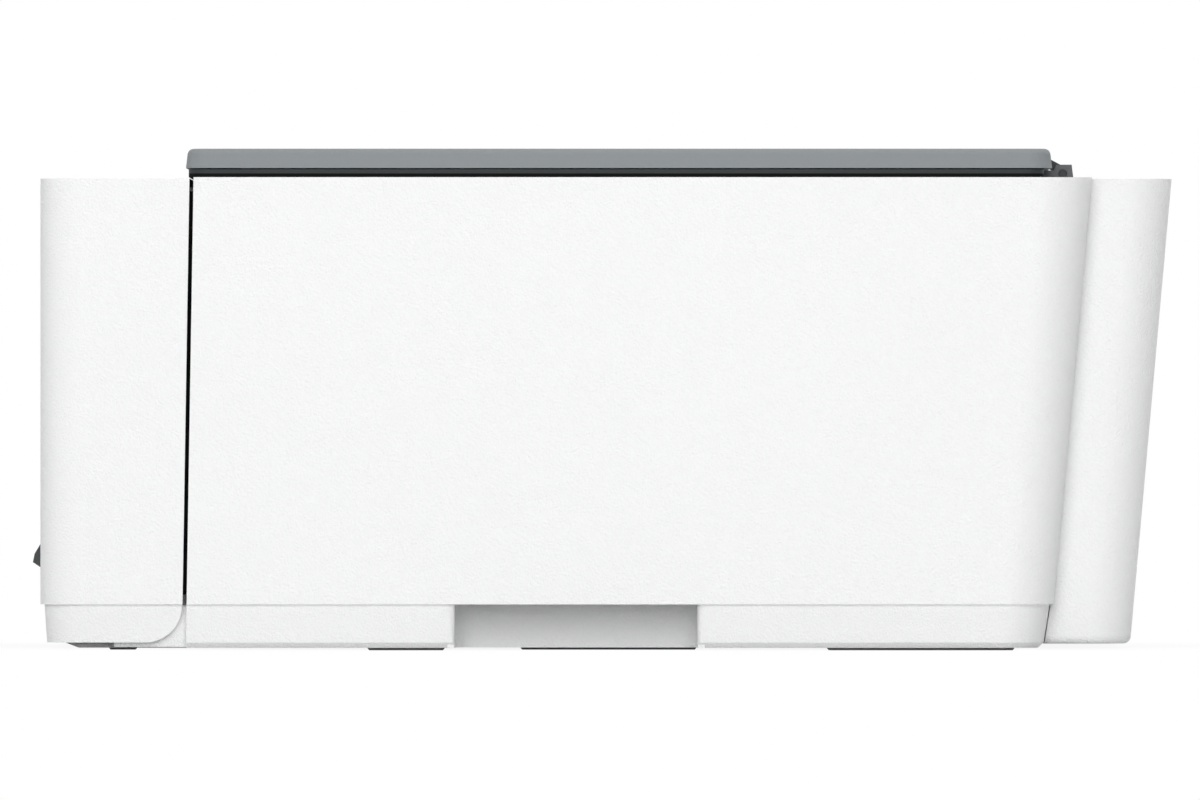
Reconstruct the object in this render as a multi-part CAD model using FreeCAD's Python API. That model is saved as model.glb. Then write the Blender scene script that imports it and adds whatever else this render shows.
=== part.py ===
"""Desktop inkjet printer with a flatbed scanner, a fold-down front door and a rear paper feed.

Frame: +X is the printer's right-hand side, -Y its front and +Z is up.  The origin is the
middle of the footprint on the table.  All sizes are millimetres.
"""

import FreeCAD
import Part
import math
import os

V = FreeCAD.Vector

# Overall size
overall_width = 434.0
overall_depth = 361.5
overall_height = 158.0

# Casing, side elevation
wall = 2.5
foot_height = 0.8
base_floor = 2.4
panel_bottom = 14.5
lid_height = 6.1
lid_gap = 0.4
frame_height = 2.5
deck_step = 0.4
lip_reach = 4.65
door_depth = 47.1
door_bottom = 2.5
seam_gap = 1.3
seam_lean = 2.2
bump_reach = 25.5
rear_lean_deg = 5.1
skirt_inset = 1.3
skirt_draft = 0.8
front_corner_radius = 13.0
rear_corner_radius = 16.0
bump_corner_radius = 14.0
bump_round = 2.4
grip_round = 2.2
bump_inset = 22.0
seam_clear = 0.4
fit_clear = 0.3
run_clear = 0.05

# Hand holds in the base
grip_front = -45.4
grip_rear = 30.8
grip_depth = 22.0
grip_height = 32.0
grip_corner = 3.0

# Front door
door_hinge_y_from_face = 5.6
door_hinge_z = 6.8
door_pin_radius = 1.8
door_ear_radius = 3.6
door_ear_width = 5.0
heel_radius = 11.5
exit_half_width = 125.0
exit_bottom = 16.5
exit_top_drop = 50.6
exit_corner = 8.0

# Scanner
lid_inset = 2.5
lid_corner = 7.0
lid_edge_radius = 2.0
lid_draft = 0.7
lid_rear_setback = 12.6
lid_wall = 2.2
frame_inset = 3.0
frame_overhang = 0.3
tub_depth = 31.0
glass_border_side = 52.0
glass_border_front = 16.5
glass_border_rear = 17.95
glass_thickness = 2.8
glass_ledge = 4.0

half_width = overall_width / 2
y_lip = -overall_depth / 2
y_face = y_lip + lip_reach
y_door_rear = y_face + door_depth
y_case_front = y_door_rear + seam_gap
y_rear_top = overall_depth / 2
y_case_rear = y_rear_top - bump_reach
lid_bottom = overall_height - lid_height
frame_top = lid_bottom - lid_gap
case_top = frame_top - frame_height
door_top = case_top - deck_step
tub_floor = case_top - tub_depth
exit_top = door_top - exit_top_drop
rear_slope = math.tan(math.radians(rear_lean_deg))
case_height = case_top - panel_bottom


def seam_y(y_at_top, z):
    """Where a seam that leans forward towards the bottom stands at height z."""
    return y_at_top - seam_lean * (case_top - z) / case_height


def rear_y(y_at_top, z):
    """Where a rear wall that leans in towards the bottom stands at height z."""
    return y_at_top - rear_slope * (case_top - z)


# Shape helpers


def block(x, y, z):
    """A box from three (low, high) pairs."""
    return Part.makeBox(x[1] - x[0], y[1] - y[0], z[1] - z[0], V(x[0], y[0], z[0]))


def rod_x(radius, x, y, z):
    """A cylinder along X between the two values of x."""
    return Part.makeCylinder(radius, x[1] - x[0], V(x[0], y, z), V(1, 0, 0))


def rod_y(radius, x, y, z):
    """A cylinder along Y between the two values of y."""
    return Part.makeCylinder(radius, y[1] - y[0], V(x, y[0], z), V(0, 1, 0))


def rod_z(radius, x, y, z):
    """A cylinder along Z between the two values of z."""
    return Part.makeCylinder(radius, z[1] - z[0], V(x, y, z[0]), V(0, 0, 1))


def fuse(*shapes):
    """One solid from touching shapes, without leftover edges."""
    return shapes[0].multiFuse(list(shapes[1:])).removeSplitter()


def group(*shapes):
    """Separate solids kept together as one node."""
    return Part.makeCompound([solid for shape in shapes for solid in shape.Solids])


def mirror_x(shape):
    """The same shape on the other side of the printer."""
    return shape.mirror(V(0, 0, 0), V(1, 0, 0))


def side_prism(points, x):
    """A YZ outline pushed along X between the two values of x."""
    corners = [V(x[0], y, z) for y, z in points]
    face = Part.Face(Part.makePolygon(corners + corners[:1]))
    return face.extrude(V(x[1] - x[0], 0, 0))


def plan_wire(z, half, y_front, y_rear, front_radius, rear_radius):
    """A rounded rectangle at height z.  A radius of 0 leaves that pair of corners square."""
    edges = []
    corners = (
        (half, y_front, front_radius, -1),
        (half, y_rear, rear_radius, 0),
        (-half, y_rear, rear_radius, 1),
        (-half, y_front, front_radius, 2),
    )
    joints = []
    for x, y, radius, quarter in corners:
        if radius == 0:
            joints.append((V(x, y, z), None, V(x, y, z)))
            continue
        cx = x - math.copysign(radius, x)
        cy = y + radius if y == y_front else y - radius
        angles = [math.pi / 2 * (quarter + share) for share in (0, 0.5, 1)]
        joints.append(tuple(V(cx + radius * math.cos(a), cy + radius * math.sin(a), z) for a in angles))
    for index, (start, middle, end) in enumerate(joints):
        if middle is not None:
            edges.append(Part.Arc(start, middle, end).toShape())
        following = joints[(index + 1) % len(joints)][0]
        edges.append(Part.LineSegment(end, following).toShape())
    return Part.Wire(edges)


def tapered(low, high):
    """A solid between two plan outlines of the same make."""
    return Part.makeLoft([low, high], True, True)


def soften(shape, radius, chosen):
    """Rounds the edges that the test picks."""
    return shape.makeFillet(radius, [edge for edge in shape.Edges if chosen(edge.BoundBox)])


def rounded_block(x, y, z, radius):
    """A box whose four upright edges are round."""
    middle = (x[0] + x[1]) / 2
    wire = plan_wire(z[0], (x[1] - x[0]) / 2, y[0], y[1], radius, radius)
    solid = Part.Face(wire).extrude(V(0, 0, z[1] - z[0]))
    solid.translate(V(middle, 0, 0))
    return solid


# Casing

door_hinge_y = y_face + door_hinge_y_from_face
ear_outer = half_width - front_corner_radius - 4.5
ear_inner = ear_outer - door_ear_width
toe_thickness = 2.5
toe_reach = 22.6
toe_clear = 0.5
tongue_half = half_width - front_corner_radius
tongue_front = y_face + 12.0
tongue_top = foot_height + 1.4
floor_top = foot_height + base_floor
bottom_chamfer = 1.7
bump_half = half_width - bump_inset
bump_bottom = 2.0
tub_half = half_width - 11.0
tub_front = y_door_rear + 4.5
tub_rear = y_case_rear - 21.3
front_frame_y = y_case_front + 6.2
front_frame_window = exit_half_width + 3.0
front_frame_window_top = tub_floor - 10.0
frame_cheek_x = half_width - 7.5
slot_front = y_case_rear + 0.7
slot_rear = y_case_rear + 14.6


def case_plan(z, inset):
    """Outline of the main case at height z, drawn in by inset on the sides and the rear."""
    radius = rear_corner_radius - inset
    y_rear = rear_y(y_case_rear, z) - inset
    return plan_wire(z, half_width - inset, seam_y(y_case_front, z), y_rear, 0, radius)


def base_tray():
    """Floor tray with its skirt, two hand holds, the toes inside the door and its hinge ears."""
    z_edge = foot_height + bottom_chamfer
    foot = tapered(
        case_plan(foot_height, skirt_inset + skirt_draft + bottom_chamfer),
        case_plan(z_edge, skirt_inset + skirt_draft),
    )
    skirt = tapered(case_plan(z_edge, skirt_inset + skirt_draft), case_plan(panel_bottom, skirt_inset))
    hollow = tapered(
        plan_wire(
            floor_top,
            half_width - skirt_inset - skirt_draft - wall,
            seam_y(y_case_front, floor_top) + wall,
            rear_y(y_case_rear, floor_top) - skirt_inset - wall,
            0,
            rear_corner_radius - skirt_inset - wall,
        ),
        plan_wire(
            panel_bottom + 1,
            half_width - skirt_inset - wall,
            seam_y(y_case_front, panel_bottom) + wall,
            rear_y(y_case_rear, panel_bottom) - skirt_inset - wall,
            0,
            rear_corner_radius - skirt_inset - wall,
        ),
    )
    tray = fuse(foot, skirt).cut(hollow)
    grip_x = half_width - skirt_inset - grip_depth
    pocket = block(
        (grip_x - wall, half_width - wall - fit_clear),
        (grip_front - wall, grip_rear + wall),
        (foot_height, grip_height + wall),
    )
    finger_room = rounded_block(
        (grip_x, half_width + grip_corner),
        (grip_front, grip_rear),
        (foot_height - 1, grip_height),
        grip_corner,
    )
    skirt_trim = block((grip_x, half_width), (grip_front, grip_rear), (foot_height - 1, panel_bottom))
    trim = [skirt_trim, mirror_x(skirt_trim), finger_room, mirror_x(finger_room)]
    for y, away in ((grip_front, -1), (grip_rear, 1)):
        trim += [skirt_round(y, away), mirror_x(skirt_round(y, away))]
    tray = fuse(tray, pocket, mirror_x(pocket)).cut(trim)
    tongue = block(
        (-tongue_half, tongue_half),
        (tongue_front, seam_y(y_case_front, foot_height) + wall),
        (foot_height, tongue_top),
    )
    toe_x = half_width - skirt_inset - skirt_draft - wall - toe_clear
    toe_y = seam_y(y_case_front, foot_height)
    toe = block(
        (toe_x - toe_thickness, toe_x),
        (toe_y - toe_reach, toe_y + wall),
        (foot_height + fit_clear, panel_bottom - fit_clear),
    )
    ears = [side_ear(), mirror_x(side_ear())]
    return fuse(tray, tongue, toe, mirror_x(toe), *ears)


def skirt_round(y, away):
    """Cutter that rounds the skirt's upright edge beside a hand hold."""
    x = half_width - skirt_inset - skirt_draft / 2
    z = (0, panel_bottom + 1)
    corner = block((x - grip_round, x + wall), sorted((y, y + away * grip_round)), z)
    return corner.cut(rod_z(grip_round, x - grip_round, y + away * grip_round, z))


def side_ear():
    """One hinge ear that carries the front door's trunnion."""
    x = (ear_inner, ear_outer)
    knuckle = rod_x(door_ear_radius, x, door_hinge_y, door_hinge_z)
    web = side_prism(
        [
            (door_hinge_y, door_hinge_z - door_ear_radius),
            (tongue_front, foot_height),
            (tongue_front + 8, foot_height),
            (tongue_front + 8, tongue_top),
            (door_hinge_y, door_hinge_z + door_ear_radius),
        ],
        x,
    )
    bore = rod_x(door_pin_radius + run_clear, x, door_hinge_y, door_hinge_z)
    return fuse(knuckle, web).cut(bore)


def side_cover():
    """Right-hand casing panel, which turns the rear corner and carries the top rim."""
    shell = tapered(case_plan(panel_bottom, 0), case_plan(case_top, 0))
    z_low = panel_bottom - 1
    z_high = case_top - wall
    room = tapered(
        plan_wire(
            z_low,
            half_width - wall,
            seam_y(y_case_front, z_low) - 5,
            rear_y(y_case_rear, z_low) - wall,
            0,
            rear_corner_radius - wall,
        ),
        plan_wire(
            z_high,
            half_width - wall,
            seam_y(y_case_front, z_high) - 5,
            rear_y(y_case_rear, z_high) - wall,
            0,
            rear_corner_radius - wall,
        ),
    )
    inner_x = bump_half + seam_clear
    middle = block((-half_width - 1, inner_x), (-overall_depth, overall_depth), (0, overall_height))
    tub_cut = block(
        (-half_width, tub_half + fit_clear),
        (tub_front - fit_clear, tub_rear + fit_clear),
        (0, overall_height),
    )
    front_cut = block((-half_width, half_width - wall), (-overall_depth, tub_front), (0, overall_height))
    return shell.cut([room, middle, tub_cut, front_cut])


def bump_plan(z, inset, y_front):
    """Outline of the rear paper housing at height z."""
    y_rear = rear_y(y_rear_top, z) - inset
    return plan_wire(z, bump_half - inset, y_front, y_rear, 0, bump_corner_radius - inset)


def rear_housing():
    """Rear shell with the paper slot on top and the sockets' openings in its back."""
    front_low = rear_y(y_case_rear, bump_bottom) - wall
    front_high = rear_y(y_case_rear, door_top) - wall
    shell = tapered(bump_plan(bump_bottom, 0, front_low), bump_plan(door_top, 0, front_high))
    z_low = bump_bottom + wall
    z_high = door_top - wall
    room = tapered(bump_plan(z_low, wall, front_low - 20), bump_plan(z_high, wall, front_high - 20))
    shell = soften(
        shell, bump_round, lambda box: box.ZMax < bump_bottom + fit_clear and box.YMax > front_low + wall
    )
    z_edge = foot_height + bottom_chamfer
    z_top = panel_bottom + seam_clear
    base_edge = skirt_inset - seam_clear
    base_cut = side_prism(
        [
            (0, 0),
            (rear_y(y_case_rear, 0) - base_edge - skirt_draft - bottom_chamfer, 0),
            (rear_y(y_case_rear, z_edge) - base_edge - skirt_draft, z_edge),
            (rear_y(y_case_rear, z_top) - base_edge, z_top),
            (0, z_top),
        ],
        (-half_width, half_width),
    )
    deck = block(
        (-bump_half, bump_half),
        (tub_rear + fit_clear, front_high + wall),
        (door_top - wall, door_top),
    )
    slot = rounded_block((-slot_half, slot_half), (slot_front, slot_rear), (z_high - 1, door_top + 1), 3.0)
    housing = fuse(shell.cut([room, base_cut]), deck).cut(slot)
    backs = [support_back(x) for x in (-support_back_x, support_back_x)]
    return fuse(housing, *backs).cut([inlet_hole(), usb_hole()])


def front_frame():
    """Inner front wall of the print engine with the window behind the front door."""
    x = half_width - wall - fit_clear
    plate = block((-x, x), (front_frame_y, front_frame_y + wall), (floor_top, tub_floor - fit_clear))
    window = block(
        (-front_frame_window, front_frame_window),
        (front_frame_y - 1, front_frame_y + wall + 1),
        (panel_bottom, front_frame_window_top),
    )
    skirt_room = panel_bottom + fit_clear
    edge = half_width - skirt_inset - skirt_draft - wall - fit_clear
    corners = [
        block((edge, half_width), (front_frame_y - 1, front_frame_y + wall + 1), (0, skirt_room)),
        block((-half_width, -edge), (front_frame_y - 1, front_frame_y + wall + 1), (0, skirt_room)),
    ]
    cheek = block(
        (frame_cheek_x, frame_cheek_x + wall),
        (y_door_rear - 5.5, front_frame_y + wall),
        (panel_bottom + fit_clear, door_top - wall - 1.5),
    )
    cheek_trim = block(
        (0, half_width),
        (-overall_depth, seam_y(y_case_front, 0)),
        (0, panel_bottom + 3),
    )
    cheek = cheek.cut(cheek_trim)
    return fuse(plate.cut([window] + corners), cheek, mirror_x(cheek))


foot_pads = (
    (half_width - 32.0, half_width - 10.0, grip_front - 27.7, grip_front - 3.2),
    (half_width - 67.0, half_width - 42.0, grip_front + 20.4, grip_rear),
    (half_width - 32.0, half_width - 10.0, y_case_rear - 83.55, y_case_rear - 24.35),
    (half_width - 67.0, half_width - 42.0, y_face + 21.1, y_face + 30.1),
)
foot_slant = 0.6


def rubber_feet():
    """Long low rubber pads under the base, with sloping ends."""
    pads = []
    for x_low, x_high, y_low, y_high in foot_pads:
        pad = side_prism(
            [
                (y_low, foot_height),
                (y_low + foot_slant, 0),
                (y_high - foot_slant, 0),
                (y_high, foot_height),
            ],
            (x_low, x_high),
        )
        pads += [pad, mirror_x(pad)]
    return group(*pads)


# Flatbed scanner and its lid

flange_half = half_width - frame_inset
flange_front = y_door_rear - frame_overhang
flange_rear = y_case_rear - 15.3
tub_wall = 2.0
bed_bottom = case_top - 2.5
glass_length = 2 * (tub_half - glass_border_side)
glass_width = tub_rear - glass_border_rear - tub_front - glass_border_front
glass_y = tub_front + glass_border_front + glass_width / 2
glass_top = frame_top - 0.2
lid_half = half_width - lid_inset
lid_front = y_door_rear - 1.2
lid_rear = y_case_rear - lid_rear_setback
hinge_x = half_width - 67.0
hinge_y = y_case_rear - 8.6
hinge_z = door_top + 1.8
hinge_pin_radius = 1.4
hinge_cheek_radius = 2.8
hinge_cheek_rise = 2.9
hinge_draft = 0.6
hinge_knuckle_radius = 2.4
hinge_knuckle = 6.0
hinge_cheek = 5.6
scan_park_x = 56.0 - tub_half
scan_rod_z = tub_floor + 8.0
scan_rod_radius = 3.0
scan_bar_width = 18.0
scan_bar_half = glass_width / 2 + 1.0
scan_bar_bottom = tub_floor + 13.5
scan_pulley_x = tub_half - 20.0
scan_pulley_y = 30.0
scan_pulley_radius = 5.0
scan_pulley_z = (tub_floor + 6.5, tub_floor + 11.5)
belt_thickness = 1.0


def centred(half):
    """A (low, high) pair about zero."""
    return (-half, half)


def belt_loop(reach, radius, thickness, height):
    """A flat belt round two wheels a distance reach to each side, lying in the XY plane."""

    def stadium(r):
        arcs = [
            Part.LineSegment(V(-reach, -r, 0), V(reach, -r, 0)),
            Part.Arc(V(reach, -r, 0), V(reach + r, 0, 0), V(reach, r, 0)),
            Part.LineSegment(V(reach, r, 0), V(-reach, r, 0)),
            Part.Arc(V(-reach, r, 0), V(-reach - r, 0, 0), V(-reach, -r, 0)),
        ]
        return Part.Wire([arc.toShape() for arc in arcs])

    loop = Part.Face(stadium(radius + thickness)).extrude(V(0, 0, height))
    return loop.cut(Part.Face(stadium(radius)).extrude(V(0, 0, height)))


def scanner_frame():
    """Dark upper frame that holds the glass, with the scanner's tub hanging below it."""
    flange = rounded_block(centred(flange_half), (flange_front, flange_rear), (case_top, frame_top), 5.0)
    tub = block(centred(tub_half), (tub_front, tub_rear), (tub_floor, case_top))
    room = block(
        centred(tub_half - tub_wall),
        (tub_front + tub_wall, tub_rear - tub_wall),
        (tub_floor + tub_wall, bed_bottom),
    )
    seat = block(
        centred(glass_length / 2 + 0.1),
        (glass_y - glass_width / 2 - 0.1, glass_y + glass_width / 2 + 0.1),
        (glass_top - glass_thickness, frame_top + 1),
    )
    view = block(
        centred(glass_length / 2 - glass_ledge),
        (glass_y - glass_width / 2 + glass_ledge, glass_y + glass_width / 2 - glass_ledge),
        (bed_bottom - 1, frame_top),
    )
    saddles = []
    for sign in (-1, 1):
        x = sorted((sign * (tub_half - tub_wall), sign * (tub_half - tub_wall - 10)))
        saddle = block(
            x,
            (glass_y - 6, glass_y + 6),
            (tub_floor + tub_wall, scan_rod_z + 5),
        )
        saddles.append(saddle.cut(rod_x(scan_rod_radius, x, glass_y, scan_rod_z)))
    shafts = []
    for x in (-scan_pulley_x, scan_pulley_x):
        shafts.append(rod_z(1.5, x, scan_pulley_y, (tub_floor + tub_wall, scan_pulley_z[1] + 1)))
        shafts.append(rod_z(4.0, x, scan_pulley_y, (tub_floor + tub_wall, scan_pulley_z[0] - fit_clear)))
    return fuse(flange, tub.cut(room), *saddles, *shafts).cut([seat, view])


def scanner_glass():
    """Plain flat glass of the scanner bed."""
    return block(
        centred(glass_length / 2),
        (glass_y - glass_width / 2, glass_y + glass_width / 2),
        (glass_top - glass_thickness, glass_top),
    )


def scan_rod():
    """Steel rod that carries the scanning bar across the tub."""
    return rod_x(scan_rod_radius, centred(tub_half - tub_wall), glass_y, scan_rod_z)


def scan_bar():
    """Scanning bar under the glass with its sliding bearing and belt clip."""
    x = (scan_park_x - scan_bar_width / 2, scan_park_x + scan_bar_width / 2)
    y = (glass_y - scan_bar_half, glass_y + scan_bar_half)
    bar = block(x, y, (scan_bar_bottom, bed_bottom - 1.5))
    lens = block((x[0] + 6, x[1] - 6), (y[0] + 4, y[1] - 4), (bed_bottom - 2.0, bed_bottom))
    bearing = block(x, (glass_y - 7, glass_y + 7), (tub_floor + tub_wall + 1, scan_bar_bottom))
    near = scan_pulley_y - scan_pulley_radius
    clip = block(
        (x[0] + 4, x[1] - 4),
        (near - belt_thickness - 3, near + 3),
        (scan_pulley_z[0] - 1.5, scan_bar_bottom),
    )
    grip = block(
        x,
        (near - belt_thickness - fit_clear, near + fit_clear),
        (scan_pulley_z[0] - 2, scan_pulley_z[1] - 0.2),
    )
    bore = rod_x(scan_rod_radius + run_clear, x, glass_y, scan_rod_z)
    return fuse(bar, bearing, clip).cut([grip, bore, lens])


def scan_belt():
    """Toothed belt that pulls the scanning bar."""
    belt = belt_loop(scan_pulley_x, scan_pulley_radius + run_clear, belt_thickness, 4.0)
    belt.translate(V(0, scan_pulley_y, scan_pulley_z[0] + 0.5))
    return belt


def scan_pulley(x):
    """Belt wheel on its upright shaft."""
    wheel = rod_z(scan_pulley_radius, x, scan_pulley_y, scan_pulley_z)
    return wheel.cut(rod_z(1.5 + run_clear, x, scan_pulley_y, scan_pulley_z))


def scan_motor():
    """Small motor that stands beside the left belt wheel."""
    x = -scan_pulley_x - 3
    y = scan_pulley_y + 22
    can = rod_z(9.0, x, y, (tub_floor + tub_wall, tub_floor + 20.0))
    plate = block((x - 11, x + 11), (y - 13, y + 13), (tub_floor + 20.0, tub_floor + 21.5))
    return fuse(can, plate, rod_z(1.2, x, y, (tub_floor + 21.5, tub_floor + 25.0)))


def scanner_lid():
    """Document lid with its hinge arms."""
    low = plan_wire(lid_bottom, lid_half, lid_front, lid_rear, lid_corner, lid_corner)
    high = plan_wire(
        overall_height,
        lid_half - lid_draft,
        lid_front + lid_draft,
        lid_rear - lid_draft,
        lid_corner - lid_draft,
        lid_corner - lid_draft,
    )
    solid = tapered(low, high)
    rim = [edge for edge in solid.Edges if edge.BoundBox.ZMin > overall_height - 0.01]
    solid = solid.makeFillet(lid_edge_radius, rim)
    hollow = rounded_block(
        centred(lid_half - lid_wall),
        (lid_front + lid_wall, lid_rear - lid_wall),
        (lid_bottom - 1, overall_height - lid_wall),
        lid_corner - lid_wall,
    )
    arms = []
    for x in (-hinge_x, hinge_x):
        span = (x - hinge_knuckle / 2, x + hinge_knuckle / 2)
        knuckle = rod_x(hinge_knuckle_radius, span, hinge_y, hinge_z)
        bar = side_prism(
            [
                (lid_rear - 1.5, lid_bottom + 0.4),
                (hinge_y - 1.2, hinge_z + 0.4),
                (hinge_y + 1.4, hinge_z + 1.8),
                (lid_rear - 1.5, lid_bottom + 4.0),
            ],
            span,
        )
        reach = hinge_knuckle / 2 + fit_clear + hinge_cheek - 0.6
        pin = rod_x(hinge_pin_radius, (x - reach, x + reach), hinge_y, hinge_z)
        arms += [knuckle, bar, pin]
    return fuse(solid.cut(hollow), *arms)


def lid_pad():
    """White pad inside the lid that presses the sheet on the glass."""
    reach = glass_length / 2 + 5
    return rounded_block(
        centred(reach),
        (glass_y - glass_width / 2 - 5, glass_y + glass_width / 2 + 5),
        (glass_top + 0.5, overall_height - lid_wall),
        2.0,
    )


def lid_hinge_brackets():
    """Two forked brackets behind the scanner that carry the lid."""
    inner = hinge_knuckle / 2 + fit_clear
    outer = inner + hinge_cheek
    parts = []
    for x in (-hinge_x, hinge_x):
        foot = block(
            (x - outer, x + outer),
            (flange_rear + fit_clear, hinge_y - hinge_cheek_radius),
            (door_top, lid_bottom - 0.4),
        )
        cheeks = []
        for sign in (-1, 1):
            span = sorted((x + sign * inner, x + sign * outer))
            stand = side_prism(
                [
                    (hinge_y - hinge_cheek_radius, door_top),
                    (hinge_y + hinge_cheek_radius + hinge_draft, door_top),
                    (hinge_y + hinge_cheek_radius, hinge_z + hinge_cheek_rise),
                    (hinge_y - 0.7 * hinge_cheek_radius, hinge_z + hinge_cheek_rise),
                    (hinge_y - hinge_cheek_radius, hinge_z + 0.4 * hinge_cheek_rise),
                ],
                span,
            )
            cheeks.append(stand.cut(rod_x(hinge_pin_radius + run_clear, span, hinge_y, hinge_z)))
        swing = block(
            (x - inner, x + inner),
            (hinge_y - 5.0, hinge_y),
            (hinge_z - 0.6, lid_bottom),
        )
        parts.append(fuse(foot.cut(swing), *cheeks))
    return group(*parts)


def hinge_windows():
    """Cuts in the rear deck that give the lid's knuckles room to turn."""
    reach = hinge_knuckle / 2 + fit_clear
    return [
        block((x - reach, x + reach), (hinge_y - 3.2, hinge_y + 3.2), (door_top - wall - 1, door_top + 1))
        for x in (-hinge_x, hinge_x)
    ]


# Front door with the control panel, and the output tray

panel_half = half_width - 27.0
panel_y = (y_face + 7.6, y_door_rear - 5.4)
panel_top = door_top - 0.1
panel_thickness = 1.6
panel_ledge = 3.0
panel_mid_y = (panel_y[0] + panel_y[1]) / 2
display_half = 27.0
display_depth = 21.0
display_thickness = 0.9
button_radius = 4.5
button_travel = 0.8
button_bottom = panel_top - 2.4
board_top = panel_top - 3.9
board_thickness = 1.6
button_x = (
    18.0 - panel_half,
    40.0 - panel_half,
    -display_half - 37.0,
    display_half + 37.0,
    panel_half - 62.0,
    panel_half - 26.0,
)
tray_half = exit_half_width - 10.0
tray_top = 25.0
tray_thickness = 3.0
tray_rear = -72.0
extension_half = 58.0
extension_z = (18.0, 21.0)
extension_rear = tray_rear - 3.0
stop_half = 30.0
stop_y = y_face + 8.6
stop_z = 19.6
stop_length = 36.0
stop_pin_radius = 0.8
stop_pin_reach = 3.0
stop_knuckle_radius = 1.2


def door_plan(z, inset, y_rear):
    """Outline of the front door at height z."""
    return plan_wire(z, half_width - inset, y_face + inset, y_rear, front_corner_radius - inset, 0)


def front_door():
    """Fold-down front with the paper exit, open at the back."""
    low_inset = skirt_inset + skirt_draft
    skirt = tapered(
        door_plan(door_bottom, low_inset, seam_y(y_door_rear, door_bottom)),
        door_plan(panel_bottom, skirt_inset, seam_y(y_door_rear, panel_bottom)),
    )
    panel = tapered(
        door_plan(panel_bottom, 0, seam_y(y_door_rear, panel_bottom)),
        door_plan(door_top, 0, seam_y(y_door_rear, door_top)),
    )
    low_room = tapered(
        door_plan(door_bottom - 1, low_inset + wall, y_door_rear + 5),
        door_plan(panel_bottom + 2, low_inset + wall, y_door_rear + 5),
    )
    high_room = tapered(
        door_plan(panel_bottom + 1.5, wall, y_door_rear + 5),
        door_plan(door_top - wall, wall, y_door_rear + 5),
    )
    heel_y = seam_y(y_door_rear, door_bottom)
    heel_corner = block(
        (-half_width - 1, half_width + 1),
        (heel_y - heel_radius, heel_y + 5),
        (door_bottom - 1, door_bottom + heel_radius),
    )
    heel = heel_corner.cut(
        rod_x(heel_radius, (-half_width - 1, half_width + 1), heel_y - heel_radius, door_bottom + heel_radius)
    )
    exit_face = plan_wire(0, exit_half_width, exit_bottom, exit_top, exit_corner, exit_corner)
    paper_exit = Part.Face(exit_face).extrude(V(0, 0, wall + 2))
    paper_exit.rotate(V(0, 0, 0), V(1, 0, 0), 90)
    paper_exit.translate(V(0, y_face + wall + 1, 0))
    panel_seat = rounded_block(
        centred(panel_half + 0.1),
        (panel_y[0] - 0.1, panel_y[1] + 0.1),
        (panel_top - panel_thickness, door_top + 1),
        4.0,
    )
    panel_room = block(
        centred(panel_half - panel_ledge),
        (panel_y[0] + panel_ledge, panel_y[1] - panel_ledge),
        (door_top - wall - 1, door_top),
    )
    ear_room = block(
        (ear_inner - 0.5, ear_outer + fit_clear),
        (y_face - 1, door_hinge_y + 4),
        (door_bottom - 1, door_hinge_z + door_ear_radius + 0.5),
    )
    cuts = [low_room, high_room, heel, paper_exit, panel_seat, panel_room, ear_room, mirror_x(ear_room)]
    shell = fuse(skirt, panel).cut(cuts)
    rib = block(
        (ear_outer + fit_clear, ear_outer + fit_clear + 3),
        (y_face + low_inset + wall - 0.6, door_hinge_y + 5.5),
        (door_hinge_z - 3.4, panel_bottom + 3),
    )
    pin = rod_x(door_pin_radius, (ear_inner, ear_outer + fit_clear + 1), door_hinge_y, door_hinge_z)
    return fuse(shell, rib, mirror_x(rib), pin, mirror_x(pin))


def control_panel():
    """Top plate of the door with holes for the buttons and a bed for the display."""
    plate = rounded_block(centred(panel_half), panel_y, (panel_top - panel_thickness, panel_top), 3.9)
    holes = [
        rod_z(button_radius + fit_clear, x, panel_mid_y, (panel_top - 3, panel_top + 1)) for x in button_x
    ]
    bed = block(
        centred(display_half),
        (panel_mid_y - display_depth / 2, panel_mid_y + display_depth / 2),
        (panel_top - display_thickness, panel_top + 1),
    )
    posts = []
    for x in (-panel_half + 8, -panel_half / 2, panel_half / 2, panel_half - 8):
        for y in (panel_mid_y - 9, panel_mid_y + 9):
            posts.append(rod_z(2.0, x, y, (board_top, panel_top - panel_thickness)))
    return fuse(plate, *posts).cut(holes + [bed])


def display():
    """Flat window of the display, flush in the control panel."""
    return block(
        centred(display_half),
        (panel_mid_y - display_depth / 2, panel_mid_y + display_depth / 2),
        (panel_top - display_thickness, panel_top),
    )


def panel_board():
    """Circuit board under the control panel with a switch below each button."""
    board = block(
        centred(panel_half - panel_ledge - 1),
        (panel_y[0] + panel_ledge + 1, panel_y[1] - panel_ledge - 1),
        (board_top - board_thickness, board_top),
    )
    switches = [
        rod_z(2.0, x, panel_mid_y, (board_top, button_bottom - button_travel - fit_clear)) for x in button_x
    ]
    return fuse(board, *switches)


def panel_button(x):
    """Round push button held by a rim under the control panel."""
    cap = rod_z(button_radius, x, panel_mid_y, (button_bottom, panel_top))
    rim = rod_z(
        button_radius + 0.8,
        x,
        panel_mid_y,
        (button_bottom, panel_top - panel_thickness - fit_clear),
    )
    return fuse(cap, rim)


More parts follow.
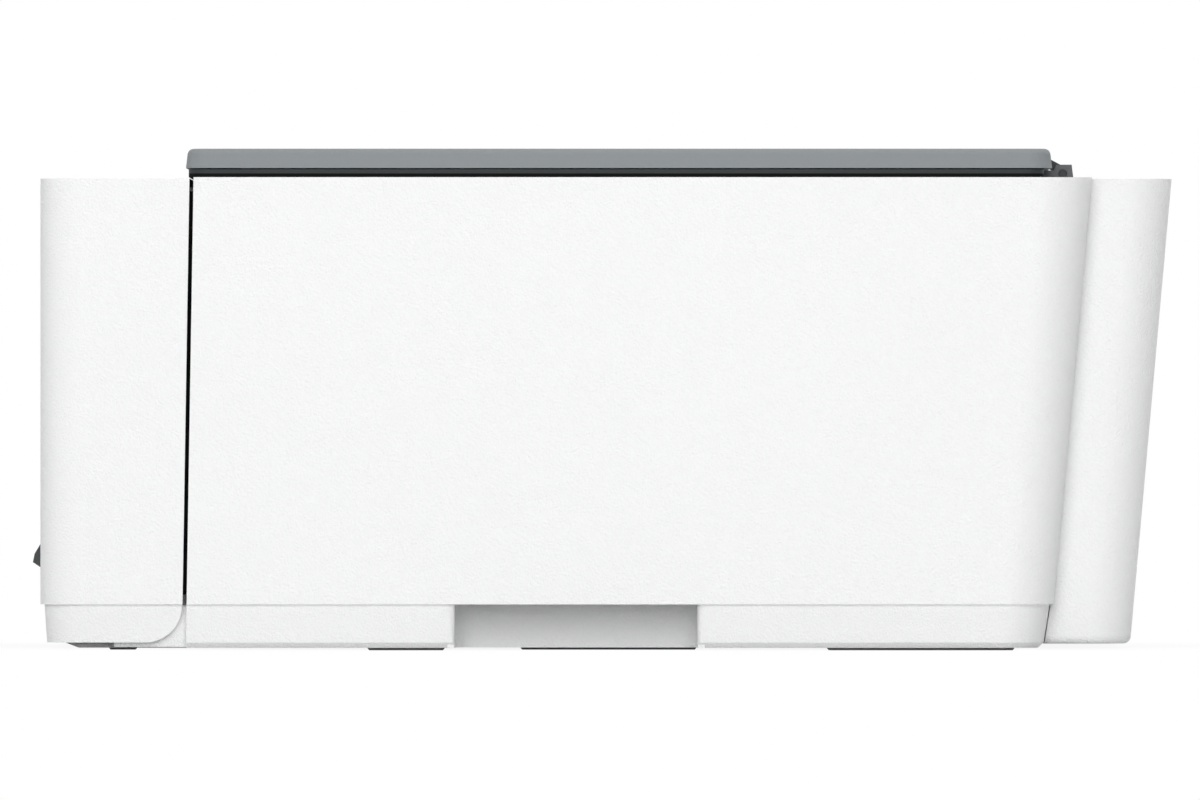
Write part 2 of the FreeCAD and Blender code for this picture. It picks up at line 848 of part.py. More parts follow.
def output_tray():
    """Fixed output shelf with the channel in which the extension slides."""
    shelf = block(
        centred(tray_half),
        (y_case_front + 0.3, tray_rear),
        (tray_top - tray_thickness, tray_top),
    )
    legs = []
    rails = []
    for sign in (-1, 1):
        x = sorted((sign * tray_half, sign * (tray_half - 3)))
        legs.append(block(x, (front_frame_y + wall + 1, tray_rear), (floor_top, tray_top)))
        x = sorted((sign * (extension_half + 0.4), sign * (extension_half + 3.4)))
        rails.append(block(x, (y_case_front + 0.3, tray_rear), (extension_z[0] - 1.8, tray_top)))
        x = sorted((sign * (extension_half - 4), sign * (extension_half + 3.4)))
        rails.append(
            block(x, (y_case_front + 0.3, tray_rear), (extension_z[0] - 1.8, extension_z[0] - fit_clear))
        )
    return fuse(shelf, *legs, *rails)


def tray_extension():
    """Pull-out extension whose grey lip shows in front of the door."""
    lip = y_lip
    profile = [
        (extension_rear, extension_z[0]),
        (y_face + 3.0, extension_z[0]),
        (y_face + 0.1, 23.9),
        (lip, 27.1),
        (lip + 0.55, 29.8),
        (y_face + 0.1, 36.8),
        (y_face + 2.9, 36.8),
        (y_face + 4.6, extension_z[1]),
        (extension_rear, extension_z[1]),
    ]
    body = side_prism(profile, centred(extension_half))
    well = block(
        centred(stop_half + fit_clear),
        (stop_y - 2.4, stop_y + stop_length + 0.6),
        (extension_z[0] - 1, extension_z[1] + 1),
    )
    x = centred(stop_half + stop_pin_reach + 0.3)
    return body.cut([well, rod_x(stop_pin_radius + run_clear, x, stop_y, stop_z)])


def tray_stop():
    """Small flap that stands up at the end of the extension to catch the sheets."""
    leaf = block(centred(stop_half), (stop_y, stop_y + stop_length), (stop_z, extension_z[1]))
    knuckle = rod_x(stop_knuckle_radius, centred(stop_half), stop_y, stop_z)
    pin = rod_x(stop_pin_radius, centred(stop_half + stop_pin_reach), stop_y, stop_z)
    return fuse(leaf, knuckle, pin)


# Print engine

plate_outer = half_width - skirt_inset - grip_depth - wall - fit_clear
plate_x = (plate_outer - 2.5, plate_outer)
plate_y = (-82.0, 40.0)
plate_top = tub_floor - 6.0
beam_y = (18.0, 20.5)
feed_y = 14.0
roller_z = 42.0
beam_z = (roller_z + 18.0, plate_top)
roller_radius = 6.0
feed_shaft_radius = 4.0
exit_shaft_radius = 3.0
gear_module = 1.0
feed_teeth = 32
transfer_teeth = 54
pinion_teeth = 12
gear_x = (2.4 - plate_x[0], 8.4 - plate_x[0])
pressure_angle = math.radians(20.0)
tooth_share = 0.46
transfer_y = feed_y - gear_module * (feed_teeth + transfer_teeth) / 2
exit_y = transfer_y - gear_module * (feed_teeth + transfer_teeth) / 2
pinion_turn = math.radians(-22.5)
pinion_y = feed_y + gear_module * (feed_teeth + pinion_teeth) / 2 * math.cos(pinion_turn)
pinion_z = roller_z + gear_module * (feed_teeth + pinion_teeth) / 2 * math.sin(pinion_turn)
pinch_radius = 4.0
pinch_z = roller_z + roller_radius + pinch_radius + 0.35
star_radius = 5.0
star_z = roller_z + roller_radius + star_radius + 0.35
carriage_x = plate_x[0] - 36.4
carriage_half = 27.0
carriage_y = (-62.0, 7.0)
carriage_z = (roller_z + 7.0, plate_top - 8.0)
roller_half = carriage_x - carriage_half - 13.0
pinch_x = (30.0 - roller_half, -30.0, 30.0, roller_half - 30.0)
pinch_arm_x = (8.0 - roller_half, -roller_half / 2, 0.0, roller_half / 2, roller_half - 8.0)
star_pitch = (roller_half - 17.0) * 2 / 5
star_x = tuple(star_pitch * (index - 2.5) for index in range(6))
star_arm_x = (-3 * star_pitch, -star_pitch, star_pitch, 3 * star_pitch)
carriage_rod_y = -6.0
carriage_rod_z = roller_z + 24.0
carriage_rod_radius = 4.0
belt_wheel_x = plate_x[0] - 12.4
belt_wheel_z = carriage_z[1] - 15.0
belt_wheel_radius = 5.0
belt_wheel_y = (9.0, 13.0)
belt_pin_radius = 1.5
guide_lip_z = (carriage_z[1] - 4.0, carriage_z[1] - 2.0)
guide_lip_front = 10.0


def gear_outline(teeth, phase):
    """Closed list of YZ points for a spur gear with one tooth at the angle phase (degrees)."""
    pitch = gear_module * teeth / 2
    base = pitch * math.cos(pressure_angle)
    root = pitch - 1.25 * gear_module
    tip = pitch + gear_module

    def half_angle(radius):
        turn = math.acos(min(1.0, base / radius))
        start = math.tan(pressure_angle) - pressure_angle
        return tooth_share * math.pi / teeth + start - (math.tan(turn) - turn)

    flank = [(root, half_angle(max(base, root))), (pitch, half_angle(pitch)), (tip, half_angle(tip))]
    points = []
    for index in range(teeth):
        middle = math.radians(phase) + 2 * math.pi * index / teeth
        tooth = [(r, middle - a) for r, a in flank] + [(r, middle + a) for r, a in reversed(flank)]
        points += [(r * math.cos(a), r * math.sin(a)) for r, a in tooth]
    return points


def gear(teeth, phase, y, z, x, bore):
    """Spur gear about an axis along X."""
    outline = [(y + py, z + pz) for py, pz in gear_outline(teeth, phase)]
    return side_prism(outline, x).cut(rod_x(bore, x, y, z))


def engine_frame():
    """Two upright plates and a rear beam that carry the rollers, the rod and the belt wheels."""
    plates = []
    for sign in (-1, 1):
        x = sorted((sign * plate_x[0], sign * plate_x[1]))
        plates.append(block(x, plate_y, (floor_top, plate_top)))
    beam = block(centred(plate_x[0]), beam_y, beam_z)
    lip = block(centred(plate_x[0]), (guide_lip_front, beam_y[0]), guide_lip_z)
    stud = rod_x(exit_shaft_radius, (-plate_x[0], gear_x[1] + 1), transfer_y, roller_z)
    idler_pin = rod_y(belt_pin_radius, belt_wheel_x, (belt_wheel_y[0] - 0.5, beam_y[0]), belt_wheel_z)
    reach = centred(plate_x[1])
    cuts = [
        rod_x(feed_shaft_radius + run_clear, reach, feed_y, roller_z),
        rod_x(exit_shaft_radius + run_clear, reach, exit_y, roller_z),
        rod_x(carriage_rod_radius, reach, carriage_rod_y, carriage_rod_z),
        rod_y(belt_pin_radius + run_clear, -belt_wheel_x, beam_y, belt_wheel_z),
    ]
    plates = [plate.cut(cuts[:3]) for plate in plates]
    return fuse(*plates, beam.cut(cuts[3]), lip, stud, idler_pin)


def carriage_rod():
    """Polished rod along which the carriage runs."""
    return rod_x(carriage_rod_radius, centred(plate_x[1]), carriage_rod_y, carriage_rod_z)


def feed_roller():
    """Long feed roller on its shaft."""
    shaft = rod_x(feed_shaft_radius, centred(plate_x[1]), feed_y, roller_z)
    return fuse(shaft, rod_x(roller_radius, centred(roller_half), feed_y, roller_z))


def exit_roller():
    """Exit shaft with a rubber ring under every star wheel."""
    shaft = rod_x(exit_shaft_radius, centred(plate_x[1]), exit_y, roller_z)
    rings = [rod_x(roller_radius, (x - 7, x + 7), exit_y, roller_z) for x in star_x]
    return fuse(shaft, *rings)


def feed_gear():
    """Gear on the feed roller's shaft."""
    return gear(feed_teeth, 0, feed_y, roller_z, gear_x, feed_shaft_radius)


def transfer_gear():
    """Idle gear that hands the drive on to the exit shaft."""
    phase = 180.0 / transfer_teeth
    return gear(transfer_teeth, phase, transfer_y, roller_z, gear_x, exit_shaft_radius + run_clear)


def exit_gear():
    """Gear on the exit shaft."""
    return gear(feed_teeth, 0, exit_y, roller_z, gear_x, exit_shaft_radius)


def motor_pinion():
    """Pinion with its shaft on the feed motor."""
    phase = math.degrees(pinion_turn) + 180 + 180.0 / pinion_teeth
    teeth = gear(pinion_teeth, phase, pinion_y, pinion_z, gear_x, 1.0)
    return fuse(teeth, rod_x(1.5, (gear_x[0], gear_x[1] + 6), pinion_y, pinion_z))


def feed_motor():
    """Feed motor on a block that stands on the floor."""
    x = (gear_x[1] + 2, gear_x[1] + 26)
    can = rod_x(12.0, x, pinion_y, pinion_z)
    foot = block((x[0], x[1]), (pinion_y - 8, pinion_y + 8), (floor_top, pinion_z))
    seat = rod_x(1.5 + run_clear, (x[0], x[0] + 5), pinion_y, pinion_z)
    return fuse(can, foot).cut(seat)


def pinch_frame():
    """Bar on the rear beam whose arms hold the pinch rollers down."""
    bar = block(centred(roller_half), (feed_y - 3, beam_y[0]), (beam_z[0] - 3, beam_z[0] + 2))
    arms = []
    for x in pinch_arm_x:
        arm = block((x - 2, x + 2), (feed_y - 3, feed_y + 3), (pinch_z - 2.5, beam_z[0] - 3))
        arms.append(arm.cut(rod_x(1.5 + run_clear, (x - 2, x + 2), feed_y, pinch_z)))
    return fuse(bar, *arms)


def pinch_rollers():
    """Four pinch rollers on one thin shaft."""
    shaft = rod_x(1.5, centred(roller_half - 4), feed_y, pinch_z)
    return fuse(shaft, *[rod_x(pinch_radius, (x - 14, x + 14), feed_y, pinch_z) for x in pinch_x])


def star_holder():
    """Bar over the exit shaft that carries the star wheels."""
    bar = block(centred(plate_x[0]), (exit_y - 4, exit_y + 4), (star_z + 6.5, star_z + 9.5))
    arms = []
    for x in star_arm_x:
        arm = block((x - 2, x + 2), (exit_y - 3, exit_y + 3), (star_z - 2, star_z + 6.5))
        arms.append(arm.cut(rod_x(1.0 + run_clear, (x - 2, x + 2), exit_y, star_z)))
    return fuse(bar, *arms)


def star_wheels():
    """Thin toothed wheels that hold the wet sheet on the exit rollers."""
    shaft = rod_x(1.0, centred(star_arm_x[3] + 2.0), exit_y, star_z)
    wheels = []
    for x in star_x:
        points = []
        for index in range(24):
            radius = star_radius if index % 2 == 0 else star_radius - 1.0
            turn = 2 * math.pi * index / 24
            points.append((exit_y + radius * math.cos(turn), star_z + radius * math.sin(turn)))
        wheels.append(side_prism(points, (x - 0.5, x + 0.5)))
        wheels.append(rod_x(2.4, (x - 2.5, x + 2.5), exit_y, star_z))
    return fuse(shaft, *wheels)


# Carriage, platen and service station

bay_wall = 3.0
bay_half = 11.25
bay_x = (carriage_x - 12.75, carriage_x + 12.75)
bay_y = (carriage_y[0] + 3, carriage_rod_y - 8)
bay_floor = carriage_z[0] + 3
cartridge_gap = 0.25
nozzle_half = 7.0
nozzle_y = (-46.0, -24.0)


def carriage():
    """Carriage with two cartridge bays, the rod bearing, a belt clip and a rail fork."""
    x = (carriage_x - carriage_half, carriage_x + carriage_half)
    body = block(x, carriage_y, carriage_z)
    cuts = [rod_x(carriage_rod_radius + run_clear, x, carriage_rod_y, carriage_rod_z)]
    for middle in bay_x:
        cuts.append(
            block((middle - bay_half, middle + bay_half), bay_y, (bay_floor, carriage_z[1] + 1))
        )
        cuts.append(
            block(
                (middle - nozzle_half - 1, middle + nozzle_half + 1),
                (nozzle_y[0] - 1, nozzle_y[1] + 1),
                (carriage_z[0] - 1, bay_floor + 1),
            )
        )
    cuts.append(block(x, (carriage_y[0] - 1, carriage_y[0] + 14), (carriage_z[1] - 20.0, carriage_z[1] + 1)))
    run_z = belt_wheel_z - belt_wheel_radius
    cuts.append(block(x, (carriage_rod_y + 7, carriage_y[1] + 1), (carriage_z[0] - 1, run_z - 8.0)))
    clip = block(
        (carriage_x - 8, carriage_x + 8),
        (carriage_y[1] - 1, belt_wheel_y[1] + 1),
        (run_z - 4, run_z + 3),
    )
    nip = block(
        (carriage_x - 9, carriage_x + 9),
        (belt_wheel_y[0] - fit_clear, belt_wheel_y[1] + 2),
        (run_z - belt_thickness - 0.35, run_z + 0.35),
    )
    fork = block(
        (carriage_x - 10, carriage_x + 10),
        (carriage_y[1] - 1, beam_y[0] - 3),
        (guide_lip_z[0] - 3.0, guide_lip_z[1] + 3.0),
    )
    rail_room = block(
        (carriage_x - 11, carriage_x + 11),
        (guide_lip_front - fit_clear, beam_y[0]),
        (guide_lip_z[0] - fit_clear, guide_lip_z[1] + fit_clear),
    )
    return fuse(body.cut(cuts), clip.cut(nip), fork.cut(rail_room))


def cartridge(middle):
    """Ink cartridge with its nozzle block and thumb grip."""
    x = (middle - bay_half + cartridge_gap, middle + bay_half - cartridge_gap)
    y = (bay_y[0] + cartridge_gap, bay_y[1] - cartridge_gap)
    tank = side_prism(
        [
            (y[0], bay_floor),
            (y[1], bay_floor),
            (y[1], carriage_z[1] - 6),
            (y[0] + 14, carriage_z[1] - 6),
            (y[0], carriage_z[1] - 16),
        ],
        x,
    )
    nozzle = block(
        (middle - nozzle_half, middle + nozzle_half),
        nozzle_y,
        (carriage_z[0] + 0.3, bay_floor),
    )
    thumb = block((middle - 6, middle + 6), (y[0] + 15, y[0] + 19), (carriage_z[1] - 6, carriage_z[1] - 1.5))
    return fuse(tank, nozzle, thumb)


def carriage_belt():
    """Toothed belt that pulls the carriage."""
    width = belt_wheel_y[1] - belt_wheel_y[0]
    belt = belt_loop(belt_wheel_x, belt_wheel_radius + run_clear, belt_thickness, width)
    belt.rotate(V(0, 0, 0), V(1, 0, 0), 90)
    belt.translate(V(0, belt_wheel_y[1], belt_wheel_z))
    return belt


def belt_wheel():
    """Idle wheel of the carriage belt."""
    wheel = rod_y(belt_wheel_radius, belt_wheel_x, belt_wheel_y, belt_wheel_z)
    return wheel.cut(rod_y(belt_pin_radius + run_clear, belt_wheel_x, belt_wheel_y, belt_wheel_z))


def drive_wheel():
    """Driven wheel of the carriage belt with its shaft through the rear beam."""
    wheel = rod_y(belt_wheel_radius, -belt_wheel_x, belt_wheel_y, belt_wheel_z)
    shaft = rod_y(belt_pin_radius, -belt_wheel_x, (belt_wheel_y[0], beam_y[1] + 4), belt_wheel_z)
    return fuse(wheel, shaft)


def carriage_motor():
    """Carriage motor on the back of the rear beam."""
    can = rod_y(12.0, -belt_wheel_x, (beam_y[1], beam_y[1] + 28), belt_wheel_z)
    seat = rod_y(belt_pin_radius + run_clear, -belt_wheel_x, (beam_y[1], beam_y[1] + 5), belt_wheel_z)
    return can.cut(seat)


def encoder_strip():
    """Clear graduated strip by which the carriage finds its place."""
    return block(centred(plate_x[0]), (belt_wheel_y[0] - 0.9, belt_wheel_y[0] - 0.6), (carriage_z[1] - 12, carriage_z[1] - 8))


def platen():
    """Ribbed table under the print heads."""
    top = roller_z + roller_radius - 1.0
    table = block(centred(roller_half), (exit_y + 9, feed_y - 9), (top - 3, top))
    ribs = [
        block((x - 0.75, x + 0.75), (exit_y + 10, feed_y - 10), (top, top + 0.8))
        for x in [(roller_half - 12) / 4 * step for step in range(-4, 5)]
    ]
    legs = [
        block((x - 2, x + 2), (exit_y + 12, feed_y - 12), (floor_top, top - 3)) for x in (22 - roller_half, 0.0, roller_half - 22)
    ]
    return fuse(table, *ribs, *legs)


def service_station():
    """Tub that wipes and caps the print heads at the parked end."""
    x = (carriage_x - carriage_half - 1, carriage_x + carriage_half + 2)
    y = (carriage_y[0] + 2, carriage_y[1] - 7)
    tub = block(x, y, (floor_top, carriage_z[0] - 5))
    room = block((x[0] + 3, x[1] - 3), (y[0] + 3, y[1] - 3), (24.0, carriage_z[0]))
    sleds = [block((x - 9.5, x + 9.5), (-48.0, -22.0), (24.0, 45.0)) for x in bay_x]
    caps = []
    for x in bay_x:
        ring = rounded_block((x - 8.5, x + 8.5), (-47.0, -23.0), (45.0, 48.0), 2.0)
        caps.append(ring.cut(rounded_block((x - 7, x + 7), (-45.5, -24.5), (46.0, 49.0), 1.5)))
        caps.append(block((x - 8, x + 8), (-54.0, -52.8), (24.0, 48.2)))
    return fuse(tub.cut(room), *sleds, *caps)


# Inner flap over the cartridges

flap_half = front_frame_window - 1.0
flap_y = front_frame_y + wall + 3.0
flap_z = front_frame_window_top - 3.5
flap_bottom = roller_z + 14.0
flap_thickness = 2.2
flap_pin_radius = 1.5
flap_pin_reach = 5.0


def cartridge_flap():
    """Dark flap in the front window that lifts for access to the cartridges."""
    leaf = block(centred(flap_half), (flap_y - flap_thickness, flap_y), (flap_bottom, flap_z + 1))
    rib = rod_x(flap_pin_radius + 0.6, centred(flap_half), flap_y, flap_z)
    pin = rod_x(flap_pin_radius, centred(flap_half + flap_pin_reach), flap_y, flap_z)
    return fuse(leaf, rib, pin)


def flap_bosses():
    """Bearings on the back of the front wall for the flap's pins."""
    parts = []
    for sign in (-1, 1):
        x = sorted((sign * (flap_half + 1.3), sign * (flap_half + flap_pin_reach)))
        boss = block(x, (front_frame_y + wall, flap_y + 4), (flap_z - 4, flap_z + 4))
        parts.append(boss.cut(rod_x(flap_pin_radius + run_clear, x, flap_y, flap_z)))
    return parts


# Rear paper feed

support_y = y_case_rear + 10.7
slot_half = roller_half + 1.0
support_half = slot_half - 6.0
support_thickness = 2.4
support_z = (28.0, door_top - 2.2)
support_back_x = support_half - 19.0
support_back_z = (18.0, door_top - 10.6)
support_ext_half = support_half - 45.0
support_ext_thickness = 1.5
support_ext_z = (62.0, door_top - 1.4)
support_tab_half = 12.0
support_tab_top = door_top + 0.9
wall_z = (52.0, door_top - wall)
hopper_thickness = 2.0
guide_travel = 55.0
guide_x = slot_half - 4.5
guide_thickness = 3.0
guide_z = (56.0, door_top - 4.6)
guide_teeth = 16
guide_pinion_z = door_top - 48.6
guide_radius = gear_module * guide_teeth / 2
rack_y = (y_case_rear - 15.25, y_case_rear - 11.25)
rack_height = 4.0
arm_height = 6.0


def leaning(y_low, y_high, z, x):
    """A slab that leans with the rear wall; the y values are those at the top of the case."""
    return side_prism(
        [
            (rear_y(y_low, z[0]), z[0]),
            (rear_y(y_high, z[0]), z[0]),
            (rear_y(y_high, z[1]), z[1]),
            (rear_y(y_low, z[1]), z[1]),
        ],
        x,
    )


def support_back(x):
    """Rib inside the rear housing on which the paper support leans."""
    back = support_y + support_thickness / 2 + fit_clear
    rib = leaning(back, y_rear_top - wall + 0.5, support_back_z, (x - 2, x + 2))
    ledge = leaning(
        support_y - 6,
        y_rear_top - wall + 0.5,
        (support_z[0] - fit_clear - 3, support_z[0] - fit_clear),
        (x - 2, x + 2),
    )
    return fuse(rib, ledge)


def paper_support():
    """Plate behind the sheets that pulls up out of the slot."""
    y = (support_y - support_thickness / 2, support_y + support_thickness / 2)
    return leaning(y[0], y[1], support_z, centred(support_half))


def paper_support_extension():
    """Second plate that pulls further up, with a thumb tab."""
    low = support_y + support_thickness / 2 + fit_clear
    plate = leaning(low, low + support_ext_thickness, support_ext_z, centred(support_ext_half))
    tab = leaning(
        low,
        low + support_ext_thickness,
        (support_ext_z[1] - 4, support_tab_top),
        centred(support_tab_half),
    )
    return fuse(plate, tab)


def hopper_wall():
    """Wall between the paper slot and the print engine, with runners for the side guides."""
    y = (y_case_rear - 0.3 - hopper_thickness, y_case_rear - 0.3)
    plate = leaning(y[0], y[1], wall_z, centred(bump_half - wall))
    upper = guide_pinion_z + guide_radius + gear_module + rack_height / 2
    lower = guide_pinion_z - guide_radius - gear_module - rack_height / 2
    reach = (guide_x - guide_travel - 7, guide_x + 7)
    slots = [
        block(reach, (rack_y[0] - 10, y_rear_top), (upper - arm_height / 2 - 0.5, upper + arm_height / 2 + 0.5)),
        block(
            (-reach[1], -reach[0]),
            (rack_y[0] - 10, y_rear_top),
            (lower - arm_height / 2 - 0.5, lower + arm_height / 2 + 0.5),
        ),
    ]
    back = rear_y(y[0], guide_pinion_z) + 1
    stud = rod_y(2.0, 0, (rack_y[0] - 0.5, back), guide_pinion_z)
    runners = []
    for x, z in ((24.0, upper + rack_height / 2 + fit_clear), (-24.0, lower - rack_height / 2 - fit_clear - 2)):
        runners.append(block((x - 4, x + 4), (rack_y[0], rear_y(y[0], z) + 1), (z, z + 2)))
    return fuse(plate.cut(slots), stud, *runners)


def rack_teeth(x, z, up):
    """Row of straight rack teeth whose pitch line is at height z, with a gap at x = 0."""
    pitch = math.pi * gear_module
    half = tooth_share * pitch / 2
    slope = math.tan(pressure_angle) * gear_module
    sign = 1 if up else -1
    points = [(x[0], z - sign * 1.25 * gear_module)]
    index = math.ceil(x[0] / pitch + 1)
    while (index + 1.5) * pitch < x[1]:
        middle = (index + 0.5) * pitch
        points += [
            (middle - half - 1.25 * slope, z - sign * 1.25 * gear_module),
            (middle - half + slope, z + sign * gear_module),
            (middle + half - slope, z + sign * gear_module),
            (middle + half + 1.25 * slope, z - sign * 1.25 * gear_module),
        ]
        index += 1
    points += [(x[1], z - sign * 1.25 * gear_module)]
    back = z - sign * (rack_height / 2 + gear_module + rack_height / 2)
    points += [(x[1], back), (x[0], back)]
    corners = [V(px, rack_y[0], pz) for px, pz in points]
    face = Part.Face(Part.makePolygon(corners + corners[:1]))
    return face.extrude(V(0, rack_y[1] - rack_y[0], 0))


def right_paper_guide():
    """Right side guide with its rack above the pinion."""
    plate_y = (y_case_rear + 0.5, support_y - support_thickness / 2 - fit_clear)
    plate = leaning(plate_y[0], plate_y[1], guide_z, (guide_x, guide_x + guide_thickness))
    middle = guide_pinion_z + guide_radius + gear_module + rack_height / 2
    arm = block(
        (guide_x, guide_x + guide_thickness),
        (rack_y[0], rear_y(plate_y[0], middle) + 2),
        (middle - arm_height / 2, middle + arm_height / 2),
    )
    rack = rack_teeth((-26.0, guide_x + guide_thickness), guide_pinion_z + guide_radius, False)
    return fuse(plate, arm, rack)


def left_paper_guide():
    """Left side guide with its rack below the pinion."""
    plate_y = (y_case_rear + 0.5, support_y - support_thickness / 2 - fit_clear)
    x = (-guide_x - guide_thickness, -guide_x)
    plate = leaning(plate_y[0], plate_y[1], guide_z, x)
    middle = guide_pinion_z - guide_radius - gear_module - rack_height / 2
    arm = block(
        x,
        (rack_y[0], rear_y(plate_y[0], middle) + 2),
        (middle - arm_height / 2, middle + arm_height / 2),
    )
    rack = rack_teeth((x[0], 26.0), guide_pinion_z - guide_radius, True)
    return fuse(plate, arm, rack)


def guide_pinion():
    """Pinion that moves the two side guides together."""
    outline = gear_outline(guide_teeth, 90.0)
    corners = [V(px, rack_y[0], guide_pinion_z + pz) for px, pz in outline]
    face = Part.Face(Part.makePolygon(corners + corners[:1]))
    wheel = face.extrude(V(0, rack_y[1] - rack_y[0], 0))
    return wheel.cut(rod_y(2.0 + run_clear, 0, rack_y, guide_pinion_z))


pickup_y = y_case_rear - 23.25
pickup_z = 40.0
pickup_radius = 14.0
pickup_post_x = 58.0


def pickup_roller():
    """Rubber roller that pulls one sheet from the stack."""
    shaft = rod_x(3.0, centred(pickup_post_x + 3.0), pickup_y, pickup_z)
    return fuse(shaft, rod_x(pickup_radius, centred(20.0), pickup_y, pickup_z))


def paper_chute():
    """Curved floor that leads the sheets to the feed roller, with the pickup roller's posts."""
    profile = [
        (feed_y + 10, 36.5),
        (y_case_rear - 55.25, 23.0),
        (y_case_rear - 13.0, 22.0),
        (y_case_rear - 7.0, 26.0),
        (y_case_rear - 7.0, 28.0),
        (y_case_rear - 14.0, 24.2),
        (y_case_rear - 55.25, 25.2),
        (feed_y + 10, 38.7),
    ]
    floor = side_prism(profile, centred(roller_half))
    leg_y = (y_case_rear - 63.25, y_case_rear - 25.25)
    leg_x = (2 - roller_half, 0.0, roller_half - 2)
    legs = [block((x - 1.5, x + 1.5), leg_y, (floor_top, 23.5)) for x in leg_x]
    posts = []
    for sign in (-1, 1):
        x = sorted((sign * pickup_post_x, sign * (pickup_post_x + 3)))
        post = block(x, (pickup_y - 6, pickup_y + 6), (23.5, pickup_z + 6))
        posts.append(post.cut(rod_x(3.0 + run_clear, x, pickup_y, pickup_z)))
    return fuse(floor, *legs, *posts)


# Electronics and sockets

inlet_x = bump_half - 37.0
inlet_z = 30.0
inlet_half = 11.0
inlet_height = 8.0
usb_x = bump_half - 69.0
usb_z = 30.0
usb_half = 6.0
usb_height = 5.5


def inlet_hole():
    """Opening in the rear wall for the power inlet."""
    return block(
        (inlet_x - inlet_half, inlet_x + inlet_half),
        (y_case_rear, overall_depth),
        (inlet_z - inlet_height, inlet_z + inlet_height),
    )


def usb_hole():
    """Opening in the rear wall for the data socket."""
    return block(
        (usb_x - usb_half, usb_x + usb_half),
        (y_case_rear, overall_depth),
        (usb_z - usb_height, usb_z + usb_height),
    )


def power_inlet():
    """Power inlet socket with two contact pins, fitted from inside the rear wall."""
    face = rear_y(y_rear_top, inlet_z - inlet_height) - 0.8
    body = block(
        (inlet_x - inlet_half, inlet_x + inlet_half),
        (face - 22, face),
        (inlet_z - inlet_height, inlet_z + inlet_height),
    )
    mouth = block((inlet_x - 8.5, inlet_x + 8.5), (face - 13, face + 1), (inlet_z - 4.5, inlet_z + 4.5))
    pins = [rod_y(1.2, inlet_x + step, (face - 13, face - 3), inlet_z) for step in (-4.3, 4.3)]
    return fuse(body.cut(mouth), *pins)


def usb_port():
    """Square data socket with its tongue."""
    face = rear_y(y_rear_top, usb_z - usb_height) - 0.8
    body = block(
        (usb_x - usb_half, usb_x + usb_half),
        (face - 16, face),
        (usb_z - usb_height, usb_z + usb_height),
    )
    mouth = block((usb_x - 4.3, usb_x + 4.3), (face - 11, face + 1), (usb_z - 4.0, usb_z + 4.0))
    tongue = block((usb_x - 2.8, usb_x + 2.8), (face - 11, face - 2), (usb_z - 1.5, usb_z + 1.5))
    return fuse(body.cut(mouth), tongue)


def main_board():
    """Main circuit board on posts, with its larger chips and connectors."""
    left = 10.4 - plate_x[0]
    front = y_case_rear - 85.25
    board = block((left, left + 60), (front, front + 62), (9.0, 10.6))
    posts = [
        rod_z(2.5, left + x, front + y, (floor_top, 9.0)) for x in (5.0, 55.0) for y in (5.0, 57.0)
    ]
    chips = [
        block((left + 18, left + 38), (front + 20, front + 40), (10.6, 13.0)),
        block((left + 42, left + 54), (front + 22, front + 42), (10.6, 12.0)),
        block((left + 4, left + 10), (front + 14, front + 50), (10.6, 17.0)),
        block((left + 18, left + 48), (front + 51, front + 57), (10.6, 16.0)),
        rod_z(5.0, left + 50, front + 12, (10.6, 20.0)),
        rod_z(4.0, left + 36, front + 10, (10.6, 18.0)),
    ]
    return fuse(board, *posts, *chips)


def power_supply():
    """Closed power supply box beside the paper path."""
    x = (plate_x[0] - 66.4, plate_x[0] - 4.4)
    y = (y_case_rear - 95.25, y_case_rear - 23.25)
    box = rounded_block(x, y, (floor_top, 40.0), 3.0)
    vents = [
        block((x[0] + 8, x[1] - 8), (y[0] + 8 + 8 * index, y[0] + 11 + 8 * index), (38.0, 41.0))
        for index in range(7)
    ]
    return box.cut(vents)


